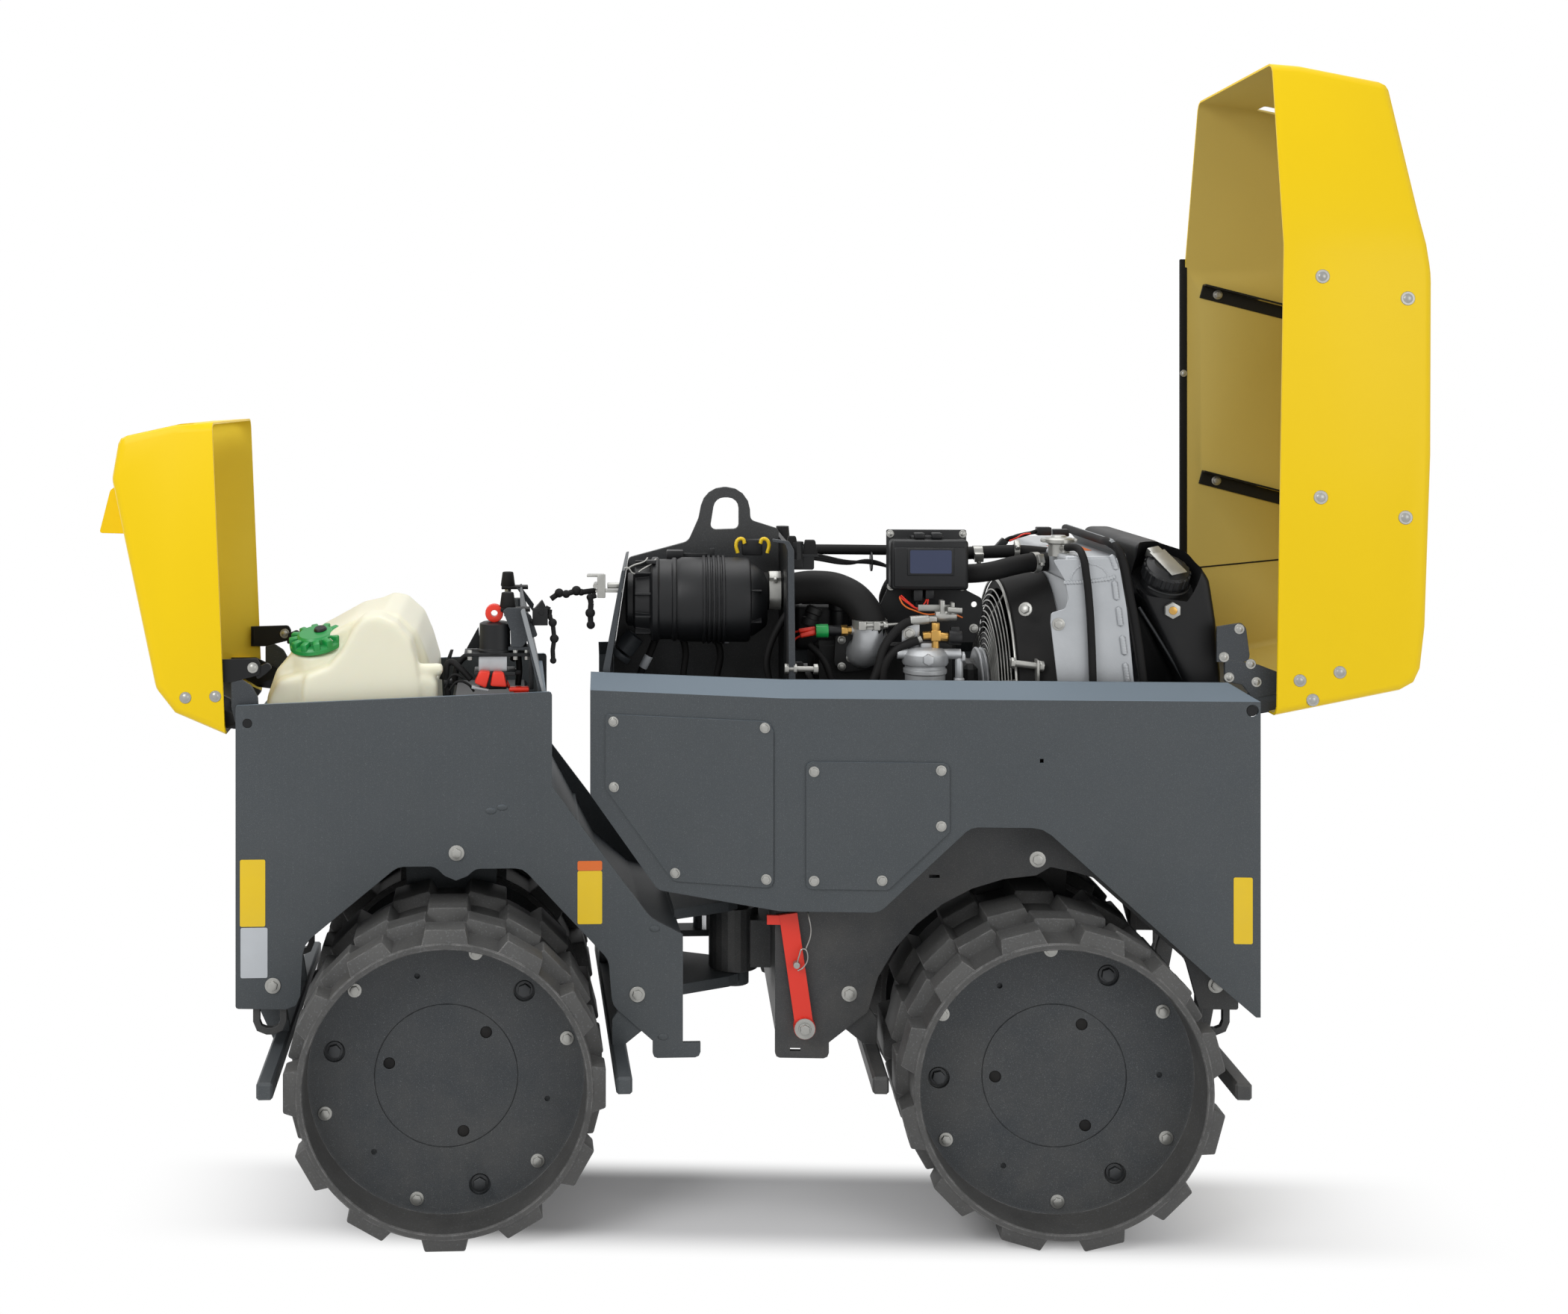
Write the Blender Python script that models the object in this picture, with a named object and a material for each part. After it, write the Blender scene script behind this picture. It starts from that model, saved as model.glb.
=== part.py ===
"""Articulated trench roller with open hoods, in metres.

The floor is z = 0. Sizes along x are measured from the steering pivot, and sizes along y from the middle
of the unit that they belong to. The front unit stands a few degrees off straight, as parked.
"""

from math import atan2, cos, pi, radians, sin, tan

import bmesh
import bpy
from mathutils import Matrix, Vector

# Driving dimensions
PIVOT_X = -0.0061
PIVOT_Y = 0.0336
STEER_AT_REST = radians(4.92)
WHEELBASE = 1.092
SEAT = 0.0003

# Drums
SHELL_RADIUS = 0.2545
SHELL_WALL = 0.012
LUG_HEIGHT = 0.0235
LUG_SINK = 0.004
LUG_COUNT = 12
LUG_TIP = radians(14.4)
LUG_FOOT = radians(19.0)
LUG_SLOPE = 0.007
DRUM_HALF_WIDTH = 0.410
DRUM_INNER_END = 0.065
RING_WIDTH = 0.132
ROW_GAP = 0.0012
DISC_RECESS = 0.077
DISC_WALL = 0.014
DISC_BOLT_CIRCLE = 0.200
DISC_BOLT_POCKET = 0.019
POCKET_DEPTH = 0.008
AXLE_RADIUS = 0.040
AXLE_FLANGE_RADIUS = 0.085
AXLE_FLANGE_WALL = 0.012
ROUND_STEPS = 24
FRONT_LUG_TURN = radians(270.0)
REAR_LUG_TURN = radians(285.0)
TIP_RADIUS = SHELL_RADIUS + LUG_HEIGHT
AXLE_HEIGHT = TIP_RADIUS * cos(LUG_TIP / 2)
CARRIER_HALF_WIDTH = 0.045
CARRIER_RADIUS = 0.095
BEARING_CLEARANCE = 0.0009

# Rear unit's skins and frame
SKIN_HALF_WIDTH = 0.300
SKIN_WALL = 0.005
SKIN_TOP = 0.926
KINK_X = 0.079
TAPER = radians(12.0)
STRIP_RISE = 0.029
STRIP_RUN = 0.027
REAR_END = 0.913
END_WALL = 0.011
FRAME_END = REAR_END - 0.020
REAR_FRONT_END = -0.270
FRAME_HALF_WIDTH = 0.241
FRAME_WALL = 0.010
FRAME_TOP = 0.880
FRAME_FRONT = 0.066
FLOOR_HEIGHT = 0.632
FLOOR_WALL = 0.008
DECK = FLOOR_HEIGHT + FLOOR_WALL + SEAT
CLEANER_HEIGHT = DECK + 0.4347
COOLANT_HEIGHT = DECK + 0.5097
RADIATOR_TOP = DECK + 0.5347
CONTROL_TOP = DECK + 0.5697
ARCH_RADIUS = TIP_RADIUS + 0.047

# Front unit
FRONT_HALF_WIDTH = 0.241
FRONT_WALL = 0.008
FRONT_END = -0.926
FRONT_REAR_END = -0.359

# Hoods
HOOD_WALL = 0.004
HOOD_ROUND = 0.016
REAR_HINGE = (REAR_END - 0.014, 0.910)
FRONT_HINGE = (FRONT_END + 0.021, 0.877)
HINGE_PIN_RADIUS = 0.008
REAR_HOOD_OPEN = radians(90.0)
FRONT_HOOD_OPEN = radians(-90.0)
HOOD_STIFFENERS = (((-0.772, 0.090), (-0.720, 0.286)), ((-0.384, 0.088), (-0.332, 0.284)))

# Steering
YOKE_HALF_HEIGHT = 0.062
YOKE_WALL = 0.020
YOKE_HEIGHT = 0.415
PIVOT_RADIUS = 0.030
HUB_TUBE_RADIUS = 0.048
STEER_GAP = 0.023
STEER_BASE = (WHEELBASE / 2 - TIP_RADIUS - STEER_GAP, 0.125)
STEER_EYE = (-0.045, 0.100)
BARREL_SHARE = 0.65
ROD_RADIUS = 0.012
PIN_RADIUS = 0.0115

# Scrapers, tie-down loops and transport lock
SCRAPER_GAP = 0.016
SCRAPER_BAR = (0.028, 0.030)
SCRAPER_REACH = 0.395
LOOP_WIDTH = 0.060
LOOP_BAR = 0.012
LOCK_PIVOT = (0.118, 0.325)
LOCK_TOP = (0.0885, 0.530)
LOCK_WIDTH = 0.033
LOCK_WALL = 0.008


def clear_scene():
    for item in list(bpy.data.objects):
        bpy.data.objects.remove(item, do_unlink=True)


def finish(name, colour, roughness, metallic=0.0):
    """A Principled material in one plain colour."""
    made = bpy.data.materials.new(name)
    made.use_nodes = True
    shader = made.node_tree.nodes["Principled BSDF"]
    shader.inputs["Base Color"].default_value = (*colour, 1.0)
    shader.inputs["Roughness"].default_value = roughness
    shader.inputs["Metallic"].default_value = metallic
    return made


def empty(name, at, parent=None, turn=(0, 0, 0)):
    made = bpy.data.objects.new(name, None)
    bpy.context.scene.collection.objects.link(made)
    made.location = at
    made.rotation_euler = turn
    made.parent = parent
    return made


def put(name, shape, parent, look=None, at=(0, 0, 0), turn=(0, 0, 0), smooth=False):
    """An object from a bmesh, under its parent empty."""
    mesh = bpy.data.meshes.new(name)
    bmesh.ops.recalc_face_normals(shape, faces=shape.faces)
    shape.to_mesh(mesh)
    shape.free()
    made = bpy.data.objects.new(name, mesh)
    bpy.context.scene.collection.objects.link(made)
    made.parent = parent
    made.location = at
    made.rotation_euler = turn
    if look:
        mesh.materials.append(look)
    if smooth:
        mesh.shade_smooth()
        mesh.set_sharp_from_angle(angle=radians(35))
    return made


def helper(name, shape, target):
    """A shape that a Boolean of the target takes: it has the target's place and isn't rendered."""
    made = put(name, shape, target.parent, None, target.location, target.rotation_euler)
    made.hide_render = True
    made.display_type = "WIRE"
    return made


def join(target, *shapes):
    for index, shape in enumerate(shapes):
        modifier = target.modifiers.new(f"join{index}", "BOOLEAN")
        modifier.operation = "UNION"
        modifier.solver = "EXACT"
        modifier.object = helper(f"{target.name}_add{len(target.modifiers)}", shape, target)
    return target


def cut(target, *shapes):
    for index, shape in enumerate(shapes):
        modifier = target.modifiers.new(f"cut{index}", "BOOLEAN")
        modifier.operation = "DIFFERENCE"
        modifier.solver = "EXACT"
        modifier.object = helper(f"{target.name}_cut{len(target.modifiers)}", shape, target)
    return target


def block(x, y, z, edge=0.0, segments=1):
    """A box between pairs of limits, with its edges bevelled."""
    shape = bmesh.new()
    size = Vector((x[1] - x[0], y[1] - y[0], z[1] - z[0]))
    middle = Vector((x[0] + x[1], y[0] + y[1], z[0] + z[1])) / 2
    bmesh.ops.create_cube(shape, size=1.0, matrix=Matrix.Translation(middle) @ Matrix.Diagonal((*size, 1)))
    if edge:
        bmesh.ops.bevel(
            shape, geom=shape.edges[:], offset=edge, segments=segments, profile=0.5, affect="EDGES"
        )
    return shape


def rod(start, end, radius, end_radius=None, sides=16):
    """A round bar or cone between two points."""
    shape = bmesh.new()
    along = Vector(end) - Vector(start)
    turn = along.to_track_quat("Z", "Y").to_matrix().to_4x4()
    bmesh.ops.create_cone(
        shape,
        cap_ends=True,
        segments=sides,
        radius1=radius,
        radius2=radius if end_radius is None else end_radius,
        depth=along.length,
        matrix=Matrix.Translation((Vector(start) + Vector(end)) / 2) @ turn,
    )
    return shape


def together(*shapes):
    """Several shapes in one bmesh, for a cutter or for pieces that a Boolean joins."""
    whole = bmesh.new()
    for shape in shapes:
        mesh = bpy.data.meshes.new("scrap")
        bmesh.ops.recalc_face_normals(shape, faces=shape.faces)
        shape.to_mesh(mesh)
        shape.free()
        whole.from_mesh(mesh)
        bpy.data.meshes.remove(mesh)
    return whole


def rounded(corners, steps=2):
    """The points of an outline given as (x, z, radius): a corner with a radius becomes an arc."""
    points = []
    for index, (x, z, radius) in enumerate(corners):
        here = Vector((x, z))
        if not radius:
            points.append((x, z))
            continue
        before = (Vector(corners[index - 1][:2]) - here).normalized()
        after = (Vector(corners[(index + 1) % len(corners)][:2]) - here).normalized()
        half = before.angle(after) / 2
        centre = here + (before + after).normalized() * radius / sin(half)
        first = here + before * radius / tan(half) - centre
        last = here + after * radius / tan(half) - centre
        sweep = first.angle_signed(last)
        for step in range(steps + 1):
            arm = first.copy()
            arm.rotate(Matrix.Rotation(-sweep * step / steps, 2))
            points.append(tuple(centre + arm))
    return points


def arc(centre, radius, first, last, steps):
    """Points on an arc between two angles in degrees, for an outline without corner radii."""
    turns = [radians(first + (last - first) * step / steps) for step in range(steps + 1)]
    return [(centre[0] + radius * cos(turn), centre[1] + radius * sin(turn), 0) for turn in turns]


def plate(outline, low, high):
    """An outline in x and z, thick along y."""
    shape = bmesh.new()
    face = shape.faces.new([shape.verts.new((x, low, z)) for x, z in outline])
    moved = bmesh.ops.extrude_face_region(shape, geom=[face])["geom"]
    raised = [item for item in moved if isinstance(item, bmesh.types.BMVert)]
    bmesh.ops.translate(shape, verts=raised, vec=(0, high - low, 0))
    return shape


def slab(outline, low, high):
    """An outline in x and y, thick along z."""
    shape = plate(outline, low, high)
    swap = Matrix(((1, 0, 0, 0), (0, 0, 1, 0), (0, 1, 0, 0), (0, 0, 0, 1)))
    bmesh.ops.transform(shape, matrix=swap, verts=shape.verts)
    return shape


def turned(profile, steps=ROUND_STEPS, axis="Y"):
    """A closed profile of (radius, position) turned about an axis. Points at radius 0 become poles."""
    shape = bmesh.new()
    points = [shape.verts.new((radius, along, 0)) for radius, along in profile]
    edges = [shape.edges.new((a, b)) for a, b in zip(points, points[1:] + points[:1])]
    bmesh.ops.spin(
        shape,
        geom=points + edges,
        axis=(0, 1, 0),
        cent=(0, 0, 0),
        steps=steps,
        angle=2 * pi,
        use_merge=True,
    )
    bmesh.ops.remove_doubles(shape, verts=shape.verts, dist=1e-6)
    lone = [edge for edge in shape.edges if not edge.link_faces]
    bmesh.ops.delete(shape, geom=lone, context="EDGES")
    turn = {"Y": Matrix(), "X": Matrix.Rotation(-pi / 2, 4, "Z"), "Z": Matrix.Rotation(pi / 2, 4, "X")}[axis]
    bmesh.ops.transform(shape, matrix=turn, verts=shape.verts)
    return shape


def taper_inward(shape, kink, slope, side=None):
    """Moves what lies forward of the kink towards the middle, as the skins and the hood narrow there."""
    whole = shape.verts[:] + shape.edges[:] + shape.faces[:]
    bmesh.ops.bisect_plane(shape, geom=whole, plane_co=(kink, 0, 0), plane_no=(1, 0, 0))
    for point in shape.verts:
        if point.co.x < kink:
            inward = -1 if (side or point.co.y) > 0 else 1
            point.co.y += inward * (kink - point.co.x) * slope


def hose(name, points, radius, parent, look, sides=2):
    """A round hose along a smooth curve through a few points."""
    curve = bpy.data.curves.new(name, "CURVE")
    curve.dimensions = "3D"
    curve.bevel_depth = radius
    curve.bevel_resolution = sides
    curve.use_fill_caps = True
    line = curve.splines.new("POLY")
    smooth = through(points, 6)
    line.points.add(len(smooth) - 1)
    for point, place in zip(line.points, smooth):
        point.co = (*place, 1)
    curve.materials.append(look)
    made = bpy.data.objects.new(name, curve)
    bpy.context.scene.collection.objects.link(made)
    made.parent = parent
    return made


def through(points, steps):
    """Catmull-Rom points through a route."""
    route = [Vector(point) for point in points]
    ends = [route[0] * 2 - route[1]] + route + [route[-1] * 2 - route[-2]]
    smooth = []
    for a, b, c, d in zip(ends, ends[1:], ends[2:], ends[3:]):
        for step in range(steps):
            t = step / steps
            square = (2 * a - 5 * b + 4 * c - d) * t**2
            cube = (3 * b - a - 3 * c + d) * t**3
            smooth.append((2 * b + (c - a) * t + square + cube) / 2)
    smooth.append(route[-1])
    return smooth


def lugs(rows, turn):
    """The blocks of the drum's rows, each row staggered by half a pitch from the one before."""
    shape = bmesh.new()
    pitch = 2 * pi / LUG_COUNT
    foot_radius = SHELL_RADIUS - LUG_SINK
    for row, (outer, inner) in enumerate(rows):
        for index in range(LUG_COUNT):
            middle = turn + (index + 0.5 * (row % 2)) * pitch
            profile = [(foot_radius, -LUG_FOOT / 2), (foot_radius, LUG_FOOT / 2)]
            profile += [(TIP_RADIUS, LUG_TIP / 2), (TIP_RADIUS, -LUG_TIP / 2)]
            ends = []
            for along, slope in ((outer, LUG_SLOPE), (inner, -LUG_SLOPE)):
                ends.append([])
                for radius, angle in profile:
                    y = along + (slope if radius == TIP_RADIUS else 0.0)
                    place = (radius * cos(middle + angle), y, radius * sin(middle + angle))
                    ends[-1].append(shape.verts.new(place))
            shape.faces.new(ends[0])
            shape.faces.new(ends[1])
            for k in range(len(profile)):
                nearby = (k + 1) % len(profile)
                shape.faces.new((ends[0][k], ends[0][nearby], ends[1][nearby], ends[1][k]))
    return shape


def drum_half(name, parent, look, turn, side):
    """One half of a drum: ring, shell and recessed disc with its bolt pockets. Side -1 is the near one."""
    disc = DRUM_HALF_WIDTH - DISC_RECESS
    inside = SHELL_RADIUS - SHELL_WALL
    profile = [
        (SHELL_RADIUS, DRUM_HALF_WIDTH),
        (SHELL_RADIUS, DRUM_INNER_END),
        (inside, DRUM_INNER_END),
        (inside, disc - DISC_WALL),
        (0, disc - DISC_WALL),
        (0, disc),
        (inside, disc),
        (inside, DRUM_HALF_WIDTH),
    ]
    made = put(name, turned([(radius, side * y) for radius, y in profile]), parent, look, smooth=True)
    ring = DRUM_HALF_WIDTH - RING_WIDTH
    middle = (ring + DRUM_INNER_END) / 2
    rows = [
        (DRUM_HALF_WIDTH - 0.001, DRUM_HALF_WIDTH - RING_WIDTH / 2 + ROW_GAP),
        (DRUM_HALF_WIDTH - RING_WIDTH / 2, ring + ROW_GAP),
        (ring, middle + ROW_GAP),
        (middle, DRUM_INNER_END + 0.001),
    ]
    join(made, lugs([sorted((side * outer, side * inner)) for outer, inner in rows], turn))
    pockets = []
    for index in range(3):
        angle = turn + radians(17.0) + index * 2 * pi / 3
        x, z = DISC_BOLT_CIRCLE * cos(angle), DISC_BOLT_CIRCLE * sin(angle)
        low, high = disc - POCKET_DEPTH, disc + POCKET_DEPTH
        pockets.append(rod((x, side * low, z), (x, side * high, z), DISC_BOLT_POCKET, sides=10))
    cut(made, together(*pockets))
    return made


def axle(name, parent, look):
    """The shaft through the carrier, with a flange inside each disc."""
    end = DRUM_HALF_WIDTH - DISC_RECESS - DISC_WALL - SEAT
    flange = end - AXLE_FLANGE_WALL
    profile = [
        (0, end),
        (AXLE_FLANGE_RADIUS, end),
        (AXLE_FLANGE_RADIUS, flange),
        (AXLE_RADIUS, flange),
        (AXLE_RADIUS, -flange),
        (AXLE_FLANGE_RADIUS, -flange),
        (AXLE_FLANGE_RADIUS, -end),
        (0, -end),
    ]
    return put(name, turned(profile, 24), parent, look, smooth=True)


def carrier(x):
    """The arm between the drum halves, and its ring round the axle."""
    top, low = FLOOR_HEIGHT + FLOOR_WALL / 2, AXLE_HEIGHT
    outline = [(x - 0.090, top, 0), (x + 0.090, top, 0), (x + 0.075, low, 0), (x - 0.075, low, 0)]
    arm = plate(rounded(outline), -CARRIER_HALF_WIDTH, CARRIER_HALF_WIDTH)
    reach = CARRIER_HALF_WIDTH + 0.004
    ring = rod((x, -reach, low), (x, reach, low), CARRIER_RADIUS, sides=24)
    bore = rod((x, -0.2, low), (x, 0.2, low), AXLE_RADIUS + BEARING_CLEARANCE, sides=24)
    return arm, ring, bore


def scrapers(middle, inner, end_wall):
    """The two bars that scrape a drum: one on arms of the side plates, the other on the end wall."""
    shapes = []
    low = AXLE_HEIGHT - SCRAPER_BAR[1] / 2
    for way in (-1, 1):
        near = middle + way * (TIP_RADIUS + SCRAPER_GAP)
        far = near + way * SCRAPER_BAR[0]
        tall = (low, low + SCRAPER_BAR[1])
        shapes.append(block(sorted((near, far)), (-SCRAPER_REACH, SCRAPER_REACH), tall, 0.004))
        foot = [(near + 0.002 * way, low + 0.004, 0), (far - 0.002 * way, low + 0.004, 0)]
        if (way > 0) == (middle < 0):
            across = inner
            arm = foot + [
                (far - 0.002 * way, low + 0.030, 0),
                (far + 0.055 * way, low + 0.075, 0),
                (far + 0.055 * way, low + 0.150, 0),
                (near + 0.055 * way, low + 0.150, 0),
                (near + 0.002 * way, low + 0.075, 0),
            ]
        else:
            across = 0.140
            arm = foot + [
                (end_wall + 0.001 * way, low + 0.125, 0),
                (end_wall + 0.001 * way, low + 0.190, 0),
                (end_wall - 0.010 * way, low + 0.190, 0),
                (near + 0.012 * way, low + 0.100, 0),
                (near + 0.002 * way, low + 0.040, 0),
            ]
        for side in (-1, 1):
            shapes.append(plate(rounded(arm), *sorted((side * (across - 0.004), side * (across + 0.004)))))
    return shapes


def tie_loops(unit, parent, look, x, foot, inner):
    """The tie-down loops, each a bar bent to a U and welded inside a side plate's lower edge."""
    low, out, bar = foot - 0.050, LOOP_WIDTH / 2, LOOP_BAR
    outline = [
        (x - out, foot + 0.045, 0),
        (x - out, low, 0.024),
        (x + out, low, 0.024),
        (x + out, foot + 0.045, 0),
        (x + out - bar, foot + 0.045, 0),
        (x + out - bar, low + bar, 0.013),
        (x - out + bar, low + bar, 0.013),
        (x - out + bar, foot + 0.045, 0),
    ]
    face = inner - SEAT
    for side, word in ((-1, "near"), (1, "far")):
        reach = sorted((side * face, side * (face - bar)))
        put(f"{unit}_tie_loop_{word}", plate(rounded(outline), *reach), parent, look)


def lock_bar(parent, look):
    """The red bar that is swung across the joint to lock the steering for transport."""
    pivot, top = Vector(LOCK_PIVOT), Vector(LOCK_TOP)
    across = Vector((top.y - pivot.y, pivot.x - top.x)).normalized() * LOCK_WIDTH / 2
    sides = [pivot - across, pivot + across, top + across, top - across]
    face = -FRAME_HALF_WIDTH - SEAT
    front = face - 0.007
    made = put("lock_bar", plate([tuple(point) for point in sides], front - LOCK_WALL, front), parent, look)
    tab = (front - LOCK_WALL + 0.001, front - 0.001)
    join(
        made,
        rod((pivot.x, front - LOCK_WALL - 0.004, pivot.y), (pivot.x, face, pivot.y), 0.0195, sides=20),
        block((top.x - 0.038, top.x + 0.004), tab, (top.y - 0.020, top.y - 0.003)),
    )
    return made


def rear_frame(parent, look):
    """The welded inner frame: arched side plates, floor, cross walls, drum carrier and pivot hub."""
    arch = (WHEELBASE / 2, AXLE_HEIGHT)
    side = [
        (FRAME_FRONT, 0.265, 0.008),
        (0.163, 0.265, 0.010),
        (0.163, 0.294, 0),
        (0.233, 0.350, 0.015),
        *arc(arch, ARCH_RADIUS, 155, 92, 6),
        (arch[0] + 0.014, 0.616, 0),
        (arch[0] + 0.062, 0.606, 0),
        (arch[0] + 0.089, 0.598, 0),
        (arch[0] + 0.166, 0.530, 0.03),
        (arch[0] + 0.254, 0.452, 0.03),
        (arch[0] + 0.278, 0.364, 0.008),
        (FRAME_END, 0.364, 0.004),
        (FRAME_END, FRAME_TOP, 0.004),
        (FRAME_FRONT, FRAME_TOP, 0.004),
    ]
    outer, inner = FRAME_HALF_WIDTH, FRAME_HALF_WIDTH - FRAME_WALL
    lap = FRAME_WALL / 2
    made = put("rear_frame", plate(rounded(side), -outer, -inner), parent, look)
    arm, ring, bore = carrier(WHEELBASE / 2)
    wide = SKIN_HALF_WIDTH - SKIN_WALL - SEAT
    fore = plate(
        rounded(
            [
                (-0.244, 0.745, 0.01),
                (-0.135, 0.590, 0.01),
                (0.030, 0.572, 0.010),
                (0.260, 0.572, 0),
                (0.260, 0.580, 0),
                (0.086, 0.580, 0),
                (-0.131, 0.598, 0.01),
                (-0.236, 0.748, 0.01),
                (-0.236, 0.900, 0),
                (-0.244, 0.900, 0),
            ]
        ),
        -wide,
        wide,
    )
    taper_inward(fore, KINK_X, tan(TAPER))
    hinge_x, hinge_z = REAR_HINGE
    bracket = [
        (hinge_x - 0.099, hinge_z - 0.110, 0),
        (hinge_x - 0.099, hinge_z - 0.038, 0),
        (hinge_x - 0.027, hinge_z + 0.016, 0.010),
        (hinge_x + 0.016, hinge_z + 0.016, 0.012),
        (hinge_x + 0.016, hinge_z - 0.017, 0.012),
        (hinge_x - 0.008, hinge_z - 0.044, 0),
        (hinge_x - 0.013, hinge_z - 0.110, 0),
    ]
    for way in (-1, 1):
        low, high = sorted((way * (outer - lap), way * (outer + 0.008)))
        pin = rod((hinge_x, way * outer, hinge_z), (hinge_x, way * 0.2655, hinge_z), HINGE_PIN_RADIUS)
        join(made, plate(rounded(bracket), low, high), pin)
        reach = sorted((way * (outer - lap), way * wide))
        rear_ledge = block((FRAME_END - 0.053, FRAME_END - 0.003), reach, (0.700, 0.708))
        join(made, block((0.110, 0.240), reach, (0.840, 0.848)), rear_ledge)
    across = (-outer + lap, outer - lap)
    hub = YOKE_HALF_HEIGHT - 0.002
    join(
        made,
        plate(rounded(side), inner, outer),
        block((0.20, FRAME_END), across, (FLOOR_HEIGHT, FLOOR_HEIGHT + FLOOR_WALL)),
        block((FRAME_FRONT + 0.002, FRAME_FRONT + 0.014), across, (0.300, 0.576)),
        block((FRAME_END - END_WALL, FRAME_END), across, (0.380, FLOOR_HEIGHT + 0.005)),
        fore,
        arm,
        ring,
        block((0.030, FRAME_FRONT + 0.006), (-0.060, 0.060), (YOKE_HEIGHT - 0.045, YOKE_HEIGHT + 0.045)),
        rod((0, 0, YOKE_HEIGHT - hub), (0, 0, YOKE_HEIGHT + hub), HUB_TUBE_RADIUS, sides=24),
    )
    join(made, *scrapers(WHEELBASE / 2, inner, FRAME_END - END_WALL / 2))
    slots = [
        block((0.093, 0.112), (-0.3, -0.2), (0.2775, 0.2830)),
        block((0.343, 0.362), (-0.3, -0.2), (0.5940, 0.5995)),
        block((0.03, 0.12), (0.062, 0.155), (YOKE_HEIGHT - 0.040, YOKE_HEIGHT + 0.040)),
    ]
    hub_bore = rod((0, 0, 0.30), (0, 0, 0.55), PIVOT_RADIUS + 0.001, sides=24)
    cut(made, together(bore, hub_bore, *slots))
    return made


def skin(name, parent, look, side):
    """A rear side skin, flat behind the kink and tapering before it, with the sloping strip on top."""
    middle = WHEELBASE / 2
    outline = [
        (REAR_FRONT_END, SKIN_TOP, 0),
        (REAR_FRONT_END, 0.735, 0.010),
        (-0.146, 0.569, 0.020),
        (KINK_X - 0.01, 0.547, 0.020),
        (middle - 0.299, 0.547, 0.030),
        (middle - 0.138, 0.700, 0.030),
        (middle - 0.011, 0.700, 0.050),
        (REAR_END - 0.084, 0.436, 0.060),
        (REAR_END - 0.008, 0.371, 0.003),
        (REAR_END, 0.371, 0),
        (REAR_END, SKIN_TOP, 0),
    ]
    outer, inner = side * SKIN_HALF_WIDTH, side * (SKIN_HALF_WIDTH - SKIN_WALL)
    shape = plate(rounded(outline), min(outer, inner), max(outer, inner))
    top = [face for face in shape.faces if face.calc_center_median().z > SKIN_TOP - 1e-5]
    raised = bmesh.ops.extrude_face_region(shape, geom=top)["geom"]
    bmesh.ops.delete(shape, geom=top, context="FACES_ONLY")
    strip = [point for point in raised if isinstance(point, bmesh.types.BMVert)]
    bmesh.ops.translate(shape, verts=strip, vec=(0, -side * STRIP_RUN, STRIP_RISE))
    for point in strip:
        if point.co.x > REAR_END - 0.001:
            point.co.x -= 0.048
    taper_inward(shape, KINK_X, tan(TAPER), side)
    made = put(name, shape, parent, look)
    cut(made, together(*skin_holes(side)))
    return made


def skin_holes(side):
    low, high = sorted((side * 0.25, side * 0.35))
    return [
        block((0.5285, 0.5355), (low, high), (0.8150, 0.8225)),
        rod((REAR_HINGE[0], low, REAR_HINGE[1]), (REAR_HINGE[0], high, REAR_HINGE[1]), 0.011, sides=16),
    ]


def cover(name, parent, look, corners, side, tapered):
    """A bolted access cover, on the flat or on the tapering part of a skin."""
    wall = 0.003
    low, high = sorted((side * SEAT, side * (SEAT + wall)))
    if not tapered:
        return put(name, plate(rounded(corners), low, high), parent, look, at=(0, side * SKIN_HALF_WIDTH, 0))
    along = [((x - KINK_X) / cos(TAPER), z, radius) for x, z, radius in corners]
    shape = plate(rounded(along), low, high)
    return put(name, shape, parent, look, at=(KINK_X, side * SKIN_HALF_WIDTH, 0), turn=(0, 0, side * TAPER))


def covers(parent, look):
    fore = [
        (-0.241, 0.884, 0.006),
        (0.060, 0.884, 0.018),
        (0.060, 0.588, 0.012),
        (-0.118, 0.588, 0.012),
        (-0.241, 0.748, 0.008),
    ]
    aft = [
        (0.117, 0.814, 0.010),
        (0.370, 0.814, 0.010),
        (0.370, 0.692, 0.008),
        (0.262, 0.588, 0.010),
        (0.117, 0.588, 0.010),
    ]
    for side, word in ((-1, "near"), (1, "far")):
        cover(f"cover_fore_{word}", parent, look, fore, side, True)
        cover(f"cover_aft_{word}", parent, look, aft, side, False)


def rear_panel(parent, look):
    """The rear end's wall, with its cooling slots."""
    wide = SKIN_HALF_WIDTH - SKIN_WALL - SEAT
    face = REAR_END - 0.0045
    made = put("rear_panel", block((face - 0.005, face), (-wide, wide), (0.400, 0.870)), parent, look)
    heights = [0.520 + 0.034 * row for row in range(7)]
    slots = [block((face - 0.02, face + 0.02), (-0.15, 0.15), (z, z + 0.012)) for z in heights]
    cut(made, together(*slots))
    return made


def lifting_plate(parent, look):
    """The middle plate over the pivot, with the lifting eye."""
    outline = [
        (-0.2325, 0.756, 0),
        (-0.2325, 0.962, 0),
        (-0.2045, 1.148, 0.010),
        (-0.088, 1.180, 0.02),
        (-0.068, 1.225, 0.03),
        (-0.056, 1.286, 0.045),
        (0.030, 1.286, 0.045),
        (0.033, 1.222, 0.012),
        (0.0877, 1.205, 0.008),
        (0.0877, 0.5805, 0),
        (-0.118, 0.5974, 0),
    ]
    made = put("lifting_plate", plate(rounded(outline, 4), -0.0075, 0.0075), parent, look)
    eye = [(-0.046, 1.203, 0.010), (0.010, 1.205, 0.010), (0.010, 1.266, 0.021), (-0.036, 1.266, 0.021)]
    cut(made, plate(rounded(eye, 4), -0.05, 0.05))
    return made


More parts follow.
